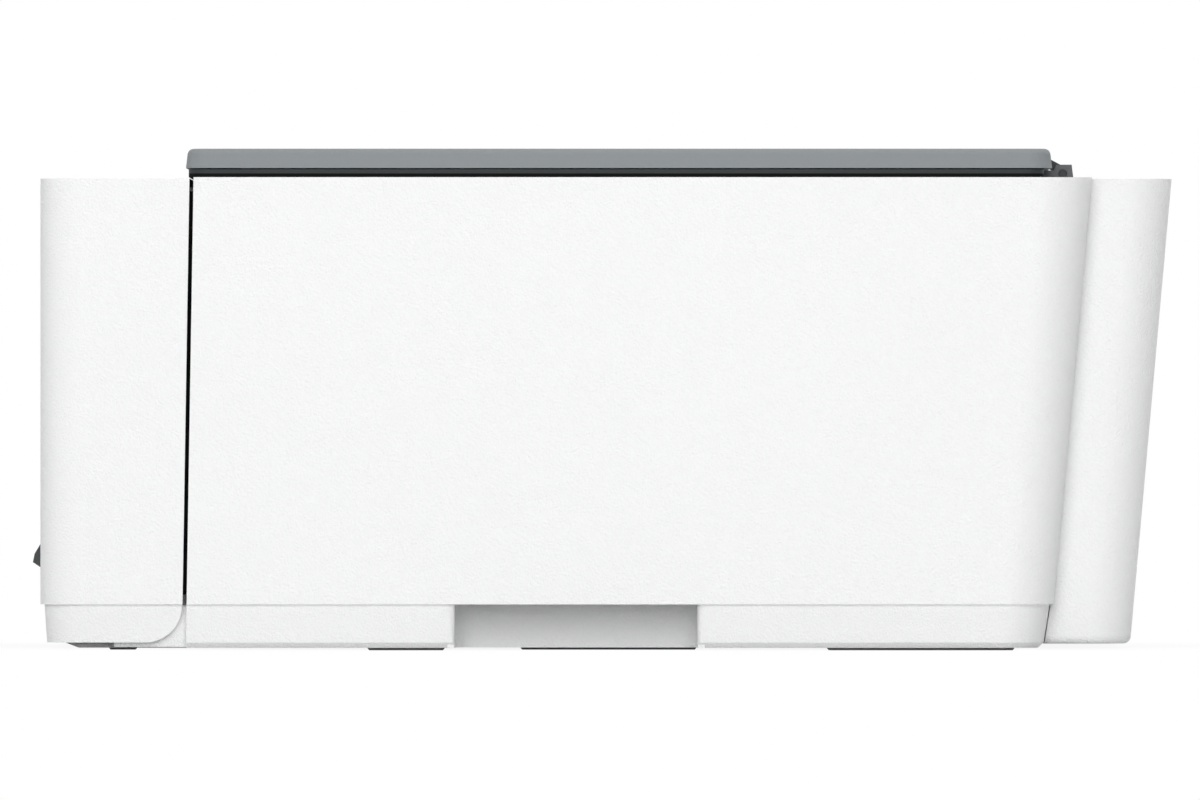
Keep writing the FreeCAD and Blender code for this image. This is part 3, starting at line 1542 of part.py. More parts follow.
def build():
    """Every part of the printer by name."""
    cover = side_cover()
    parts = {
        "base_tray": base_tray(),
        "right_side_cover": cover,
        "left_side_cover": mirror_x(cover),
        "rear_housing": rear_housing().cut(hinge_windows()),
        "front_frame": fuse(front_frame(), *flap_bosses()),
        "rubber_feet": rubber_feet(),
        "scanner_frame": scanner_frame(),
        "scanner_glass": scanner_glass(),
        "scan_bar": scan_bar(),
        "left_scan_pulley": scan_pulley(-scan_pulley_x),
        "right_scan_pulley": scan_pulley(scan_pulley_x),
        "lid_hinge_brackets": lid_hinge_brackets(),
        "scanner_lid": scanner_lid(),
        "lid_pad": lid_pad(),
        "front_door": front_door(),
        "control_panel": control_panel(),
        "display": display(),
        "panel_board": panel_board(),
        "output_tray": output_tray(),
        "tray_extension": tray_extension(),
        "tray_stop": tray_stop(),
        "engine_frame": fuse(engine_frame(), pinch_frame(), star_holder()),
        "guide_rods": group(carriage_rod(), scan_rod()),
        "drive_belts": group(carriage_belt(), scan_belt()),
        "drive_motors": group(feed_motor(), carriage_motor(), scan_motor()),
        "feed_roller": feed_roller(),
        "feed_gear": feed_gear(),
        "transfer_gear": transfer_gear(),
        "exit_roller": exit_roller(),
        "exit_gear": exit_gear(),
        "motor_pinion": motor_pinion(),
        "pinch_rollers": pinch_rollers(),
        "star_wheels": star_wheels(),
        "carriage": carriage(),
        "black_cartridge": cartridge(bay_x[1]),
        "colour_cartridge": cartridge(bay_x[0]),
        "belt_wheel": belt_wheel(),
        "drive_wheel": drive_wheel(),
        "encoder_strip": encoder_strip(),
        "platen": platen(),
        "service_station": service_station(),
        "cartridge_flap": cartridge_flap(),
        "hopper_wall": hopper_wall(),
        "paper_support": paper_support(),
        "paper_support_extension": paper_support_extension(),
        "left_paper_guide": left_paper_guide(),
        "right_paper_guide": right_paper_guide(),
        "guide_pinion": guide_pinion(),
        "pickup_roller": pickup_roller(),
        "paper_chute": paper_chute(),
        "power_inlet": power_inlet(),
        "usb_port": usb_port(),
        "main_board": main_board(),
        "power_supply": power_supply(),
    }
    names = ("power", "wireless", "back", "select", "cancel", "start")
    for name, x in zip(names, button_x):
        parts[name + "_button"] = panel_button(x)
    return parts


os.makedirs("parts", exist_ok=True)
for name, shape in build().items():
    shape.exportStep("parts/" + name + ".step")
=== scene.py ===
# %% [markdown]
# # A desktop inkjet printer
# The solids come from a finished CAD model, already in the right place and size. This lesson
# dresses them: every plastic, rubber, steel and glass surface gets a finish made of nodes, and
# the small things that CAD leaves out, such as screws, belt teeth and printed signs, are added.

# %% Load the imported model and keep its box
import math

import bmesh
import bpy
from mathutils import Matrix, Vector


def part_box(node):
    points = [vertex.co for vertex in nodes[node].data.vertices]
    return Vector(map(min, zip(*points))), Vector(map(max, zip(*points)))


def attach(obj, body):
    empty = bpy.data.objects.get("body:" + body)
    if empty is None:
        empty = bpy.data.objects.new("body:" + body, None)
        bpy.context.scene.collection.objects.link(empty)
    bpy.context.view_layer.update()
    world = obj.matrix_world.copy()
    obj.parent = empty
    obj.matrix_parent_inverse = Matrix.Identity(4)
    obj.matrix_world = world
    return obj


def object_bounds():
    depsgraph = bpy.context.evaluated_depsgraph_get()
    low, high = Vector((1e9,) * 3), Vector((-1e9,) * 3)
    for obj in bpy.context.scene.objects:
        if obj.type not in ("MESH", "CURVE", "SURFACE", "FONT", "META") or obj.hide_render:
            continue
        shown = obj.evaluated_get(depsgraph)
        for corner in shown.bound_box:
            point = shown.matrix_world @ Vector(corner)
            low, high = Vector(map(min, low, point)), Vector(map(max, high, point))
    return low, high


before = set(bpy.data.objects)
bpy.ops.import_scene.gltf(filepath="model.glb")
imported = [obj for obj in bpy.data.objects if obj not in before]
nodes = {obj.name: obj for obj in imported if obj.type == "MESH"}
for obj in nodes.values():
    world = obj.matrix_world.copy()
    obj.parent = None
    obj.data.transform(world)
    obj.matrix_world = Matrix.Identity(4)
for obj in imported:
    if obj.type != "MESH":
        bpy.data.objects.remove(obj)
cad_box = [list(corner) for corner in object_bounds()]
scene = bpy.context.scene
scene.view_settings.view_transform = "Standard"
print("solids:", len(nodes), "box:", cad_box)

# %% [markdown]
# ## Shader sums as Python
# A finish is a graph of nodes, and a graph is hard to read in code. One small class holds an
# output socket and turns +, -, *, < and > into Math nodes, so a mask can be written as a sum.


# %% A number in a shader, and a finish that collects nodes
class Number:
    """An output socket that can be used in sums."""

    def __init__(self, finish, socket):
        self.finish = finish
        self.socket = socket

    def sum(self, operation, first, second):
        node = self.finish.node("ShaderNodeMath", {"operation": operation}, {0: first, 1: second})
        return Number(self.finish, node.outputs[0])

    def __add__(self, other):
        return self.sum("ADD", self, other)

    def __radd__(self, other):
        return self.sum("ADD", other, self)

    def __sub__(self, other):
        return self.sum("SUBTRACT", self, other)

    def __rsub__(self, other):
        return self.sum("SUBTRACT", other, self)

    def __mul__(self, other):
        return self.sum("MULTIPLY", self, other)

    def __rmul__(self, other):
        return self.sum("MULTIPLY", other, self)

    def __gt__(self, other):
        return self.sum("GREATER_THAN", self, other)

    def __lt__(self, other):
        return self.sum("LESS_THAN", self, other)

    def over(self, other):
        return self.sum("MAXIMUM", self, other)

    def under(self, other):
        return self.sum("MINIMUM", self, other)

    def sine(self):
        return self.sum("SINE", self, 0.0)

    def size(self):
        return self.sum("ABSOLUTE", self, 0.0)


class Finish:
    """A material and the nodes that make it."""

    def __init__(self, name):
        self.material = bpy.data.materials.new(name)
        self.material.use_nodes = True
        self.tree = self.material.node_tree
        self.shader = self.tree.nodes["Principled BSDF"]

    def node(self, kind, settings=None, sockets=None):
        made = self.tree.nodes.new(kind)
        for key, value in (settings or {}).items():
            setattr(made, key, value)
        for key, value in (sockets or {}).items():
            self.put(made.inputs[key], value)
        return made

    def put(self, socket, value):
        if isinstance(value, Number):
            value = value.socket
        if isinstance(value, bpy.types.NodeSocket):
            self.tree.links.new(value, socket)
        else:
            socket.default_value = value

    def place(self, scale=(1, 1, 1)):
        """Object coordinates, stretched."""
        coords = self.node("ShaderNodeTexCoord").outputs["Object"]
        return self.node("ShaderNodeMapping", None, {"Vector": coords, "Scale": scale}).outputs[0]

    def axes(self):
        """The three object coordinates as numbers."""
        coords = self.node("ShaderNodeTexCoord").outputs["Object"]
        split = self.node("ShaderNodeSeparateXYZ", None, {0: coords})
        return [Number(self, out) for out in split.outputs]

    def noise(self, scale, detail=2.0, stretch=(1, 1, 1), roughness=0.5):
        made = self.node(
            "ShaderNodeTexNoise",
            None,
            {"Vector": self.place(stretch), "Scale": scale, "Detail": detail, "Roughness": roughness},
        )
        return Number(self, made.outputs[0])

    def cells(self, scale, stretch=(1, 1, 1)):
        made = self.node(
            "ShaderNodeTexVoronoi",
            {"feature": "F1"},
            {"Vector": self.place(stretch), "Scale": scale},
        )
        return Number(self, made.outputs["Distance"])

    def blend(self, share, first, second):
        """A colour between two colours."""
        made = self.node("ShaderNodeMix", {"data_type": "RGBA"}, {0: share, 6: first, 7: second})
        return made.outputs[2]

    def bump(self, height, strength, depth):
        made = self.node("ShaderNodeBump", None, {"Height": height, "Strength": strength, "Distance": depth})
        self.put(self.shader.inputs["Normal"], made.outputs[0])

    def set(self, **values):
        for key, value in values.items():
            self.put(self.shader.inputs[key.replace("_", " ")], value)
        return self.material


def grey(value, alpha=1.0):
    return (value, value, value, alpha)


def shade(colour, share):
    """The same colour, lighter or darker."""
    return tuple(min(1.0, channel * share) for channel in colour[:3]) + (1.0,)


print("shader helpers ready")

# %% [markdown]
# ## Moulded plastic
# The casing is injection moulded: the steel mould is etched, so the plastic leaves it with a
# fine irregular grain under a millimetre across. A picture of grain would repeat and blur, so
# two noises on object coordinates make it: one for the grain, one for the slow change in gloss
# that a large panel gets as it cools. The lid and its hinge arms are one solid here, but the
# hinge is dark on the real object, so what lies behind the lid's rear edge takes a second colour.


# %% Grained plastics
def moulded(name, colour, rough, grain, bump=0.25, depth=0.0002, gloss=0.4, behind=None):
    """Etched mould grain on a coloured plastic, with a second colour behind a line if one is given."""
    finish = Finish(name)
    pebble = finish.noise(grain, 2.0)
    slow = finish.noise(9.0, 2.0)
    base = finish.blend(slow * 0.3 + pebble * 0.7, shade(colour, 0.96), shade(colour, 1.04))
    if behind:
        y_line, second = behind
        base = finish.blend(finish.axes()[1] > y_line, base, second)
    finish.bump(pebble, bump, depth)
    finish.set(Specular_IOR_Level=gloss)
    return finish.set(Base_Color=base, Roughness=rough + 0.1 * (slow - 0.5) + 0.12 * (pebble - 0.5))


white_case = moulded("white_case", (0.87, 0.875, 0.875, 1), 0.46, 1500.0, 0.7, 0.0005)
trim_colour = (0.085, 0.09, 0.094, 1)
arm_reach = 0.0063
lid_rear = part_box("scanner_lid")[1][1] - arm_reach
grey_lid = moulded(
    "grey_lid",
    (0.238, 0.256, 0.266, 1),
    0.62,
    1000.0,
    0.3,
    gloss=0.25,
    behind=(lid_rear, shade(trim_colour, 0.75)),
)
grey_trim = moulded("grey_trim", trim_colour, 0.48, 1200.0, 0.2)
black_inside = moulded("black_inside", (0.018, 0.019, 0.02, 1), 0.55, 1300.0, 0.2)
white_film = moulded("white_film", (0.84, 0.84, 0.83, 1), 0.4, 2200.0, 0.1)
button_cap = moulded("button_cap", (0.34, 0.35, 0.36, 1), 0.42, 1600.0, 0.15)


def frame_with_painted_gap_shade(name, z_line):
    """Dark plastic, painted near black under a line as the shade of a gap; the solid has no step or gap."""
    finish = Finish(name)
    height = finish.axes()[2]
    pebble = finish.noise(1200.0, 2.0)
    dark = finish.blend(pebble, (0.03, 0.034, 0.036, 1), (0.038, 0.042, 0.045, 1))
    finish.bump(pebble, 0.2, 0.0002)
    finish.set(Specular_IOR_Level=0.12)
    # painted shade: the near-black band under this height stands in for the shadow of a gap, not the
    # plastic's own colour
    painted_shade_band = height < z_line
    return finish.set(Base_Color=finish.blend(painted_shade_band, dark, grey(0.002)), Roughness=0.5 + 0.3 * painted_shade_band)


casing_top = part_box("right_side_cover")[1][2]
# painted shade: height of the black band painted along the frame's lower edge, in place of a shadowed gap
painted_shade_height = 0.0012
dark_frame_and_painted_shade = frame_with_painted_gap_shade("dark_frame_and_painted_shade", casing_top + painted_shade_height)
print("plastics ready")

# %% [markdown]
# ## Everything that is not casing plastic
# Each material shows how it was made. Rods are ground along their length, so their noise is
# stretched along X. Zinc-plated sheet has large crystals, which Voronoi cells give. A circuit
# board is green lacquer over copper lines, and its solder pads are the cells' centres.


# %% Satin plastic, glass and metals
def satin(name, colour, smear):
    """Satin plastic whose gloss varies a little."""
    finish = Finish(name)
    touch = finish.noise(38.0, 4.0)
    base = finish.blend(touch, shade(colour, 0.9), shade(colour, 1.15))
    finish.set(Specular_IOR_Level=0.3)
    return finish.set(Base_Color=base, Roughness=0.28 + smear * touch)


def metal(name, colour, rough, scale, stretch):
    """Bare metal whose tool marks run along the stretched axis."""
    finish = Finish(name)
    marks = finish.noise(scale, 3.0, stretch)
    base = finish.blend(marks, shade(colour, 0.86), shade(colour, 1.1))
    finish.bump(marks, 0.15, 0.00002)
    return finish.set(Base_Color=base, Metallic=1.0, Roughness=rough + 0.2 * (marks - 0.5))


def plated(name, colour):
    """Zinc-plated sheet with its crystal pattern."""
    finish = Finish(name)
    crystal = finish.cells(140.0)
    base = finish.blend(crystal, shade(colour, 0.82), shade(colour, 1.12))
    return finish.set(Base_Color=base, Metallic=1.0, Roughness=0.3 + 0.25 * crystal)


def clear_plate(name, tint):
    """Float glass with a trace of dust."""
    finish = Finish(name)
    dust = finish.noise(420.0, 3.0)
    base = finish.blend(dust, tint, shade(tint, 0.97))
    finish.set(IOR=1.5, Transmission_Weight=0.92)
    return finish.set(Base_Color=base, Roughness=0.02 + 0.03 * dust)


satin_black = satin("satin_black", (0.012, 0.012, 0.013, 1), 0.12)
scan_glass = clear_plate("scan_glass", (0.86, 0.91, 0.9, 1))
ground_steel = metal("ground_steel", (0.62, 0.62, 0.63, 1), 0.26, 900.0, (0.04, 1, 1))
motor_steel = metal("motor_steel", (0.45, 0.46, 0.47, 1), 0.38, 700.0, (1, 1, 0.06))
zinc_plate = plated("zinc_plate", (0.56, 0.57, 0.58, 1))
print("satin plastic, glass and metals ready")


# %% Rubber, belts, gears, boards and films
def rubber(name, colour):
    """Matt rubber with a fine tooth and a bloom of dust."""
    finish = Finish(name)
    tooth = finish.noise(2600.0, 2.0)
    bloom = finish.noise(60.0, 3.0)
    base = finish.blend(bloom * 0.7 + tooth * 0.3, shade(colour, 0.85), shade(colour, 1.2))
    finish.bump(tooth, 0.35, 0.00005)
    return finish.set(Base_Color=base, Roughness=0.72 + 0.2 * bloom)


def circuit_board(name):
    """Green lacquer over copper lines, with bright solder pads."""
    finish = Finish(name)
    x, y = finish.axes()[:2]
    line_pitch = 0.0024
    line_turn = 2 * math.pi / line_pitch
    wander = finish.noise(70.0, 1.0) * 6.0
    lines = ((x + y) * line_turn + wander).sine() > 0.55
    pads = finish.cells(230.0) < 0.12
    lacquer = finish.blend(lines, (0.012, 0.11, 0.045, 1), (0.03, 0.2, 0.08, 1))
    base = finish.blend(pads, lacquer, (0.62, 0.6, 0.52, 1))
    return finish.set(Base_Color=base, Metallic=pads, Roughness=0.34 + 0.1 * lines - 0.08 * pads)


def ruled_film(name, pitch):
    """Clear strip printed with fine upright bars that the carriage counts."""
    finish = Finish(name)
    along = finish.axes()[0]
    bars = (along * (2 * math.pi / pitch)).sine() > 0.0
    base = finish.blend(bars, (0.6, 0.62, 0.64, 1), (0.03, 0.03, 0.035, 1))
    return finish.set(Base_Color=base, Roughness=0.18 + 0.1 * bars, Alpha=0.45 + 0.5 * bars)


def screen(name, centre, half_x, half_y):
    """Dark display whose lit area is a shade bluer than its frame."""
    finish = Finish(name)
    x, y = finish.axes()[:2]
    inside = ((x - centre[0]).size() < half_x) * ((y - centre[1]).size() < half_y)
    smear = finish.noise(45.0, 3.0)
    face = finish.blend(smear, (0.03, 0.045, 0.06, 1), (0.04, 0.055, 0.07, 1))
    base = finish.blend(inside, (0.008, 0.008, 0.009, 1), face)
    return finish.set(Base_Color=base, Roughness=0.09 + 0.08 * smear)


foot_rubber = rubber("foot_rubber", (0.36, 0.365, 0.37, 1))
roller_rubber = rubber("roller_rubber", (0.045, 0.045, 0.047, 1))
belt_rubber = rubber("belt_rubber", (0.022, 0.022, 0.024, 1))
gear_acetal = moulded("gear_acetal", (0.74, 0.73, 0.69, 1), 0.36, 2500.0, 0.08)
cartridge_shell = moulded("cartridge_shell", (0.02, 0.02, 0.022, 1), 0.42, 1500.0, 0.2)
board = circuit_board("board")
bar_pitch = 0.00017
encoder_film = ruled_film("encoder_film", bar_pitch)
display_low, display_high = (Vector(corner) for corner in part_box("display"))
display_middle = (display_low + display_high) / 2
display_half = (display_high - display_low) / 2
lit_share = 0.88
display_face = screen("display_face", display_middle, display_half.x * lit_share, display_half.y * lit_share)
print("rubber, gears, boards and films ready")

# %% [markdown]
# ## Give each solid its finish
# The CAD solids keep their shape and place. Only the material in their slots changes.

# %% Dress the solids
dressing = {
    white_case: "base_tray right_side_cover left_side_cover rear_housing front_door"
    " paper_support paper_support_extension",
    grey_lid: "scanner_lid",
    dark_frame_and_painted_shade: "scanner_frame front_frame",
    grey_trim: "lid_hinge_brackets output_tray tray_extension tray_stop cartridge_flap"
    " left_paper_guide right_paper_guide",
    black_inside: "scan_bar carriage platen service_station hopper_wall paper_chute power_inlet power_supply",
    white_film: "lid_pad",
    satin_black: "control_panel",
    display_face: "display",
    scan_glass: "scanner_glass",
    ground_steel: "guide_rods star_wheels usb_port",
    motor_steel: "drive_motors",
    zinc_plate: "engine_frame",
    foot_rubber: "rubber_feet",
    roller_rubber: "feed_roller exit_roller pinch_rollers pickup_roller",
    belt_rubber: "drive_belts",
    gear_acetal: "feed_gear transfer_gear exit_gear motor_pinion belt_wheel drive_wheel guide_pinion"
    " left_scan_pulley right_scan_pulley",
    cartridge_shell: "black_cartridge colour_cartridge",
    board: "main_board panel_board",
    encoder_film: "encoder_strip",
}
key_names = ("power", "wireless", "back", "select", "cancel", "start")
dressing[button_cap] = " ".join(name + "_button" for name in key_names)
for material, names in dressing.items():
    for name in names.split():
        for place in nodes[name].material_slots:
            place.material = material
bare = set(nodes) - set(" ".join(dressing.values()).split())
print("dressed:", len(nodes) - len(bare), "left bare:", sorted(bare))

# %% [markdown]
# ## What repeats
# Screws, belt teeth and the scanner's scale marks repeat, so two small Geometry Nodes trees grow
# them: one puts a screw head on each point of a mesh, the other sets a row of bars. Their sizes
# are named inputs. The result is kept as a plain mesh, because instances would not be exported.


# %% Trees with named inputs
class Tree:
    """A Geometry Nodes group, its named inputs and a short way to add nodes."""

    def __init__(self, name, inputs):
        self.group = bpy.data.node_groups.new(name, "GeometryNodeTree")
        self.identifiers = {}
        face = self.group.interface
        face.new_socket("Points", in_out="INPUT", socket_type="NodeSocketGeometry")
        for key, kind in inputs.items():
            made = face.new_socket(key, in_out="INPUT", socket_type="NodeSocket" + kind)
            self.identifiers[key] = made.identifier
        face.new_socket("Mesh", in_out="OUTPUT", socket_type="NodeSocketGeometry")
        self.inlet = self.group.nodes.new("NodeGroupInput")
        self.outlet = self.group.nodes.new("NodeGroupOutput")

    def node(self, kind, settings=None, sockets=None):
        made = self.group.nodes.new(kind)
        for key, value in (settings or {}).items():
            setattr(made, key, value)
        for key, value in (sockets or {}).items():
            if isinstance(value, bpy.types.NodeSocket):
                self.group.links.new(value, made.inputs[key])
            else:
                made.inputs[key].default_value = value
        return made

    def given(self, key):
        return self.inlet.outputs[key]

    def times(self, first, second):
        return self.node("ShaderNodeMath", {"operation": "MULTIPLY"}, {0: first, 1: second}).outputs[0]

    def vector(self, x, y, z):
        return self.node("ShaderNodeCombineXYZ", None, {0: x, 1: y, 2: z}).outputs[0]

    def end(self, instances, material):
        whole = self.node("GeometryNodeRealizeInstances", None, {0: instances})
        values = {"Geometry": whole.outputs[0], "Material": material}
        dressed = self.node("GeometryNodeSetMaterial", None, values)
        self.group.links.new(dressed.outputs[0], self.outlet.inputs[0])


def carried(name, data, body):
    """A finished piece that rides on a body."""
    piece = bpy.data.objects.new(name, data)
    scene.collection.objects.link(piece)
    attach(piece, body)
    return piece


def grown(name, tree, points, values, body):
    """The tree's result on the points, as a plain piece."""
    ground = bpy.data.meshes.new(name + "_points")
    ground.from_pydata([tuple(point) for point in points], [], [])
    host = bpy.data.objects.new(name + "_host", ground)
    scene.collection.objects.link(host)
    modifier = host.modifiers.new("tree", "NODES")
    modifier.node_group = tree.group
    for key, value in values.items():
        modifier[tree.identifiers[key]] = value
    evaluated = host.evaluated_get(bpy.context.evaluated_depsgraph_get())
    data = bpy.data.meshes.new_from_object(evaluated)
    bpy.data.objects.remove(host)
    return carried(name, data, body)


print("tree helpers ready")

# %% [markdown]
# A screw head is a short cylinder with a cross cut out of it. The tree turns its upright axis
# to a facing direction, so the same tree serves the back wall and the underside.

# %% The screw tree
head_sides = 40
cut_reach = 1.25
cut_lift = 0.78


def screw_tree():
    """Cross-head screws on points, facing one way."""
    tree = Tree("screws", {"Radius": "Float", "Height": "Float", "Cut": "Float", "Facing": "Vector"})
    radius, height, cut = (tree.given(key) for key in ("Radius", "Height", "Cut"))
    values = {"Vertices": head_sides, "Radius": radius, "Depth": height}
    head = tree.node("GeometryNodeMeshCylinder", None, values)
    arm = tree.times(radius, cut_reach)
    raised = tree.vector(0.0, 0.0, tree.times(height, cut_lift))
    bars = []
    for size in (tree.vector(arm, cut, height), tree.vector(cut, arm, height)):
        cube = tree.node("GeometryNodeMeshCube", None, {"Size": size})
        moved = tree.node("GeometryNodeTransform", None, {"Geometry": cube.outputs[0], "Translation": raised})
        bars.append(moved.outputs[0])
    cross = tree.node("GeometryNodeMeshBoolean", {"operation": "DIFFERENCE"}, {0: head.outputs["Mesh"]})
    for bar in bars:
        tree.group.links.new(bar, cross.inputs[1])
    turn = tree.node("FunctionNodeAlignRotationToVector", {"axis": "Z"}, {"Vector": tree.given("Facing")})
    placed = tree.node(
        "GeometryNodeInstanceOnPoints",
        None,
        {"Points": tree.given("Points"), "Instance": cross.outputs[0], "Rotation": turn.outputs[0]},
    )
    tree.end(placed.outputs[0], ground_steel)
    return tree


screws = screw_tree()
print("screw tree:", len(screws.group.nodes), "nodes")


# %% The row tree
def row_tree(name, material):
    """Equal bars in a row."""
    tree = Tree(name, {"Count": "Int", "Start": "Vector", "Step": "Vector", "Size": "Vector"})
    line = tree.node(
        "GeometryNodeMeshLine",
        {"mode": "OFFSET"},
        {"Count": tree.given("Count"), "Start Location": tree.given("Start"), "Offset": tree.given("Step")},
    )
    bar = tree.node("GeometryNodeMeshCube", None, {"Size": tree.given("Size")})
    placed = tree.node(
        "GeometryNodeInstanceOnPoints", None, {"Points": line.outputs[0], "Instance": bar.outputs[0]}
    )
    tree.end(placed.outputs[0], material)
    return tree


belt_row = row_tree("belt_row", belt_rubber)
mark_row = row_tree("mark_row", white_film)
print("row trees ready")

# %% [markdown]
# The back wall leans, so the screws on it face along its normal. Their height on the wall gives
# their depth. The screws under the machine hold the base to the engine.

# %% Screws on the back and underneath
millimetre = 0.001
rear_lean_degrees = 5.1
rear_lean = math.radians(rear_lean_degrees)
rear_low, rear_high = (Vector(corner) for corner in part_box("rear_housing"))
tray_low, tray_high = (Vector(corner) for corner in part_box("base_tray"))
screw_sink = 0.12 * millimetre
screw_size = {"Radius": 3.0 * millimetre, "Height": 0.5 * millimetre, "Cut": 0.9 * millimetre}


def on_back(x, z):
    """A point just inside the leaning back wall."""
    return Vector((x, rear_high.y - screw_sink - (rear_high.z - z) * math.tan(rear_lean), z))


back_inset = 24 * millimetre
back_x = rear_high.x - back_inset
back_z = (rear_low.z + back_inset, rear_high.z - back_inset)
back_points = [on_back(x, z) for x in (-back_x, back_x) for z in back_z]
back_facing = Vector((0, math.cos(rear_lean), -math.sin(rear_lean)))
grown("back_screws", screws, back_points, {**screw_size, "Facing": back_facing}, "chassis")

under_inset = Vector((64, 60)) * millimetre
under_x = tray_high.x - under_inset.x
under_y = (tray_low.y + 2 * under_inset.y, (tray_low.y + tray_high.y) / 2, tray_high.y - under_inset.y)
under_points = [(x, y, tray_low.z) for x in (-under_x, under_x) for y in under_y]
grown("under_screws", screws, under_points, {**screw_size, "Facing": (0, 0, -1)}, "chassis")
print("screws:", len(back_points) + len(under_points))

# %% [markdown]
# Both belts are toothed on the inside. The wheels' boxes give the belt's line: its inner face
# touches the wheels, and the teeth stand on that face towards the other run.

# %% Belt teeth
tooth = Vector((1.0, 3.6, 0.45)) * millimetre
tooth_pitch = 2.0 * millimetre
end_clear = 7.0 * millimetre


def belt_teeth(name, first, second, across):
    """Teeth on both runs of a belt between two wheels that stand along X."""
    low, high = (Vector(corner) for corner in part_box(first))
    middle = (low + high) / 2
    far = sum((Vector(corner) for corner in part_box(second)), Vector()) / 2
    reach = abs(far.x - middle.x) - 2 * end_clear
    count = int(reach / tooth_pitch)
    size = tooth if across == 2 else Vector((tooth.x, tooth.z, tooth.y))
    for side in (-1, 1):
        start = middle.copy()
        start.x = min(middle.x, far.x) + end_clear
        start[across] += side * ((high - low)[across] / 2 - tooth.z / 2)
        values = {"Count": count, "Start": start, "Step": (tooth_pitch, 0, 0), "Size": size}
        grown(f"{name}_{'upper' if side > 0 else 'lower'}", belt_row, [], values, "chassis")
    return count


print("teeth on a run:", belt_teeth("carriage_teeth", "drive_wheel", "belt_wheel", 2))
print("teeth on a run:", belt_teeth("scan_teeth", "left_scan_pulley", "right_scan_pulley", 1))

# %% [markdown]
# White marks beside the glass show where a sheet goes. They are ink, so they are only a few
# hundredths of a millimetre thick.

# %% Marks beside the glass
ink = 0.04 * millimetre
mark_pitch = 10 * millimetre
mark_gap = 1.5 * millimetre
mark_length = 4 * millimetre
mark_width = 0.35 * millimetre
glass_low, glass_high = (Vector(corner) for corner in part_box("scanner_glass"))
frame_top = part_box("scanner_frame")[1][2]
mark_count = int((glass_high.y - glass_low.y) / mark_pitch)
for side in (-1, 1):
    edge = glass_high.x if side > 0 else glass_low.x
    values = {
        "Count": mark_count,
        "Start": (
            edge + side * (mark_gap + mark_length / 2),
            glass_low.y + mark_pitch / 2,
            frame_top + ink / 2,
        ),
        "Step": (0, mark_pitch, 0),
        "Size": (mark_length, mark_width, ink),
    }
    grown("glass_marks_" + ("right" if side > 0 else "left"), mark_row, [], values, "chassis")
print("marks on a side:", mark_count)

# %% [markdown]
# ## Signs on the keys
# A key's sign is a thin strip of ink that follows a short path. Arcs come from their radius and
# angles, and straight signs need only their corners. Each sign rides on its own key.


# %% Strips of ink
def strip(mesh, path, width, low, high, closed=False):
    """A flat strip along a path of points, between two heights."""
    rails = []
    for index, point in enumerate(path):
        before = path[index - 1] if closed or index else point
        after = path[(index + 1) % len(path)] if closed or index + 1 < len(path) else point
        along = (after - before).normalized()
        side = Vector((-along.y, along.x)) * width / 2
        rails.append([mesh.verts.new((*(point + s * side), z)) for z in (low, high) for s in (-1, 1)])
    following = rails[1:] + rails[:1] if closed else rails[1:]
    for a, b in zip(rails, following):
        for i, j in ((0, 1), (1, 3), (3, 2), (2, 0)):
            mesh.faces.new((a[i], a[j], b[j], b[i]))
    if not closed:
        for a, b, c, d in (rails[0], rails[-1]):
            mesh.faces.new((a, b, d, c))
    bmesh.ops.recalc_face_normals(mesh, faces=mesh.faces)


def arc(radius, start, stop, centre=(0, 0), steps=28):
    angles = [math.radians(start + (stop - start) * step / steps) for step in range(steps + 1)]
    return [Vector(centre) + radius * Vector((math.cos(angle), math.sin(angle))) for angle in angles]


def corners(*points):
    return [Vector(point) for point in points]


signs = {
    "power": [arc(1.0, 130, 410), corners((0, 0.35), (0, 1.3))],
    "wireless": [arc(radius, 45, 135, (0, -0.8)) for radius in (0.5, 1.1, 1.7)],
    "back": [corners((0.9, 0), (-0.9, 0)), corners((-0.25, 0.65), (-0.95, 0), (-0.25, -0.65))],
    "select": [arc(0.95, 0, 347, (0, 0))],
    "cancel": [corners((-0.7, -0.7), (0.7, 0.7)), corners((-0.7, 0.7), (0.7, -0.7))],
    "start": [corners((-0.6, 0.85), (0.95, 0), (-0.6, -0.85))],
}
closed_signs = ("select", "start")
sign_unit = 1.6 * millimetre
sign_width = 0.4 * millimetre
for name, paths in signs.items():
    low, high = (Vector(corner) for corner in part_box(name + "_button"))
    middle = ((low + high) / 2).to_2d()
    mesh = bmesh.new()
    for path in paths:
        placed = [middle + point * sign_unit for point in path]
        strip(mesh, placed, sign_width, high.z - ink, high.z + ink, name in closed_signs)
    data = bpy.data.meshes.new(name + "_sign")
    mesh.to_mesh(data)
    mesh.free()
    data.materials.append(white_film)
    carried(name + "_sign", data, name + "_key")
print("signs:", len(signs))

# %% [markdown]
# ## Floor, light and camera
# The photograph is a side view on plain white. The floor is pale and keeps a faint shadow, and
# what lies behind is white for the camera, mirrors and glass only, so it adds no plain light to
# the object.


# %% Floor and world
def seen_directly(finish):
    """One for camera, mirror and glass rays, else nought."""
    path = finish.node("ShaderNodeLightPath")
    camera, glossy, through = (
        Number(finish, path.outputs[key]) for key in ("Is Camera Ray", "Is Glossy Ray", "Is Transmission Ray")
    )
    return camera.over(glossy).over(through)


white_near = 0.86
white_growth = 2.0


def pale_floor():
    """Pale matt board whose shadow shows only faintly to the camera."""
    finish = Finish("pale_floor")
    fleck = finish.noise(300.0, 2.0)
    finish.set(Base_Color=finish.blend(fleck, grey(0.62), grey(0.66)), Roughness=0.9)
    glow = finish.node("ShaderNodeEmission", None, {"Color": grey(1.0), "Strength": 1.0})
    x, y = finish.axes()[:2]
    white_share = (white_near + (x * x + y * y) * white_growth).under(1.0)
    mixed = finish.node(
        "ShaderNodeMixShader",
        None,
        {0: seen_directly(finish) * white_share, 1: finish.shader.outputs[0], 2: glow.outputs[0]},
    )
    outlet = finish.tree.nodes["Material Output"]
    finish.put(outlet.inputs["Surface"], mixed.outputs[0])
    return finish.material


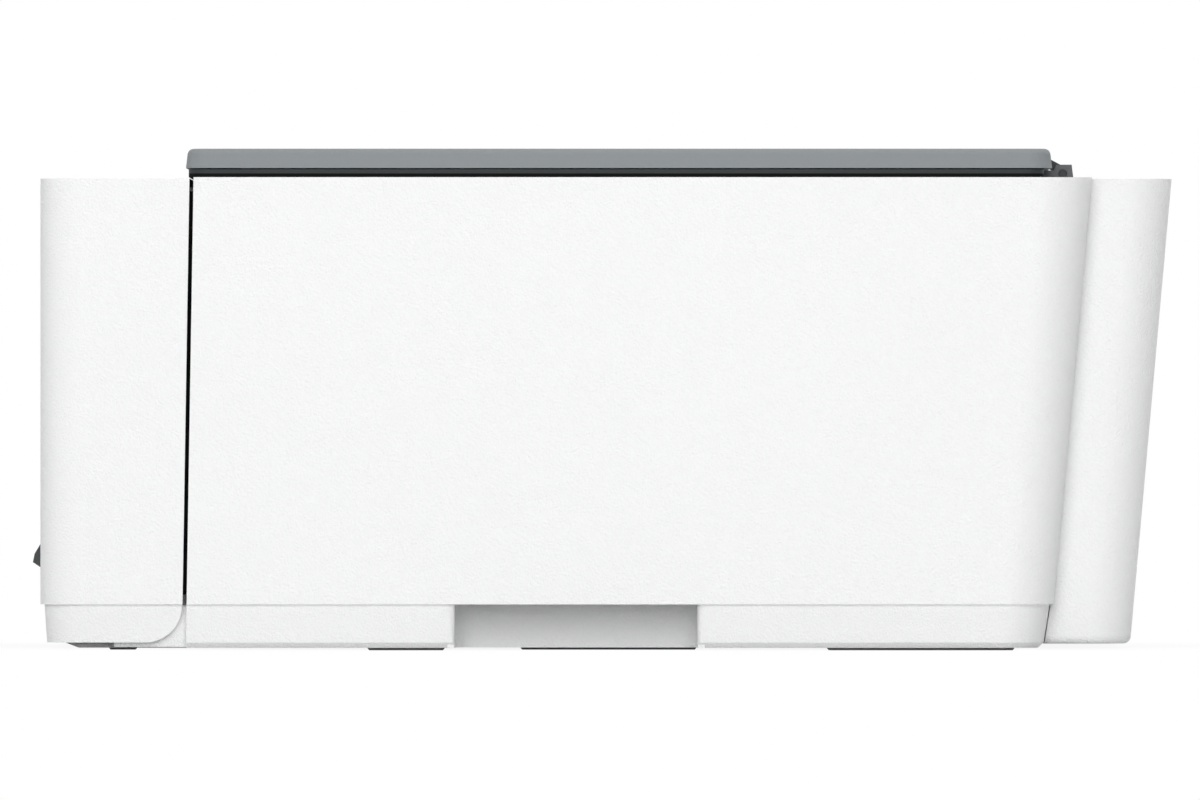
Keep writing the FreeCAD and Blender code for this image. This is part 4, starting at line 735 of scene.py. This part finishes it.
floor_size = 6.0
floor_data = bpy.data.meshes.new("floor")
half = floor_size / 2
floor_corners = [(-half, -half, 0), (half, -half, 0), (half, half, 0), (-half, half, 0)]
floor_data.from_pydata(floor_corners, [], [(0, 1, 2, 3)])
floor_data.materials.append(pale_floor())
floor = bpy.data.objects.new("floor", floor_data)
scene.collection.objects.link(floor)


class Surroundings(Finish):
    """The world's nodes, with the same helpers as a material's."""

    def __init__(self, name):
        self.material = bpy.data.worlds.new(name)
        self.material.use_nodes = True
        self.tree = self.material.node_tree
        self.shader = self.tree.nodes["Background"]


room = Surroundings("white_room")
fill_light = 0.3
room.set(Color=grey(1.0), Strength=fill_light + (1 - fill_light) * seen_directly(room))
scene.world = room.material
print("floor and world ready")


# %% Lamps and camera
def softbox(name, place, aim, size, power):
    """A square area lamp that faces a point."""
    lamp = bpy.data.lights.new(name, "AREA")
    lamp.size = size
    lamp.energy = power
    made = bpy.data.objects.new(name, lamp)
    made.location = place
    made.rotation_euler = (Vector(aim) - Vector(place)).to_track_quat("-Z", "Y").to_euler()
    scene.collection.objects.link(made)


middle = sum((Vector(corner) for corner in cad_box), Vector()) / 2
softbox("key", (1.95, -0.05, 0.6), middle, 1.1, 19.5)
softbox("left", (-1.9, -0.2, 0.75), middle, 1.2, 8)
softbox("top", (0.2, 0.3, 1.9), middle, 1.4, 14)
softbox("front", (0.4, -1.9, 0.9), middle, 1.2, 7)
softbox("rear", (-1.2, 1.5, 1.3), middle, 1.4, 9)

photo_width, photo_height = 1200, 800
photo_scale = 3177.0
object_column = 599.25
floor_row = 650.5
photo_middle_y = (photo_width / 2 - object_column) / photo_scale
photo_middle_z = (floor_row - photo_height / 2) / photo_scale
distance = 11.5
lens = bpy.data.cameras.new("camera")
lens.sensor_width = 36.0
lens.clip_end = 2 * distance
lens.lens = lens.sensor_width * distance * photo_scale / photo_width
camera = bpy.data.objects.new("camera", lens)
camera.location = (cad_box[1][0] + distance, photo_middle_y, photo_middle_z)
camera.rotation_euler = (math.radians(90), 0, math.radians(90))
scene.collection.objects.link(camera)
scene.camera = camera
print("lens:", round(lens.lens, 1), "mm")
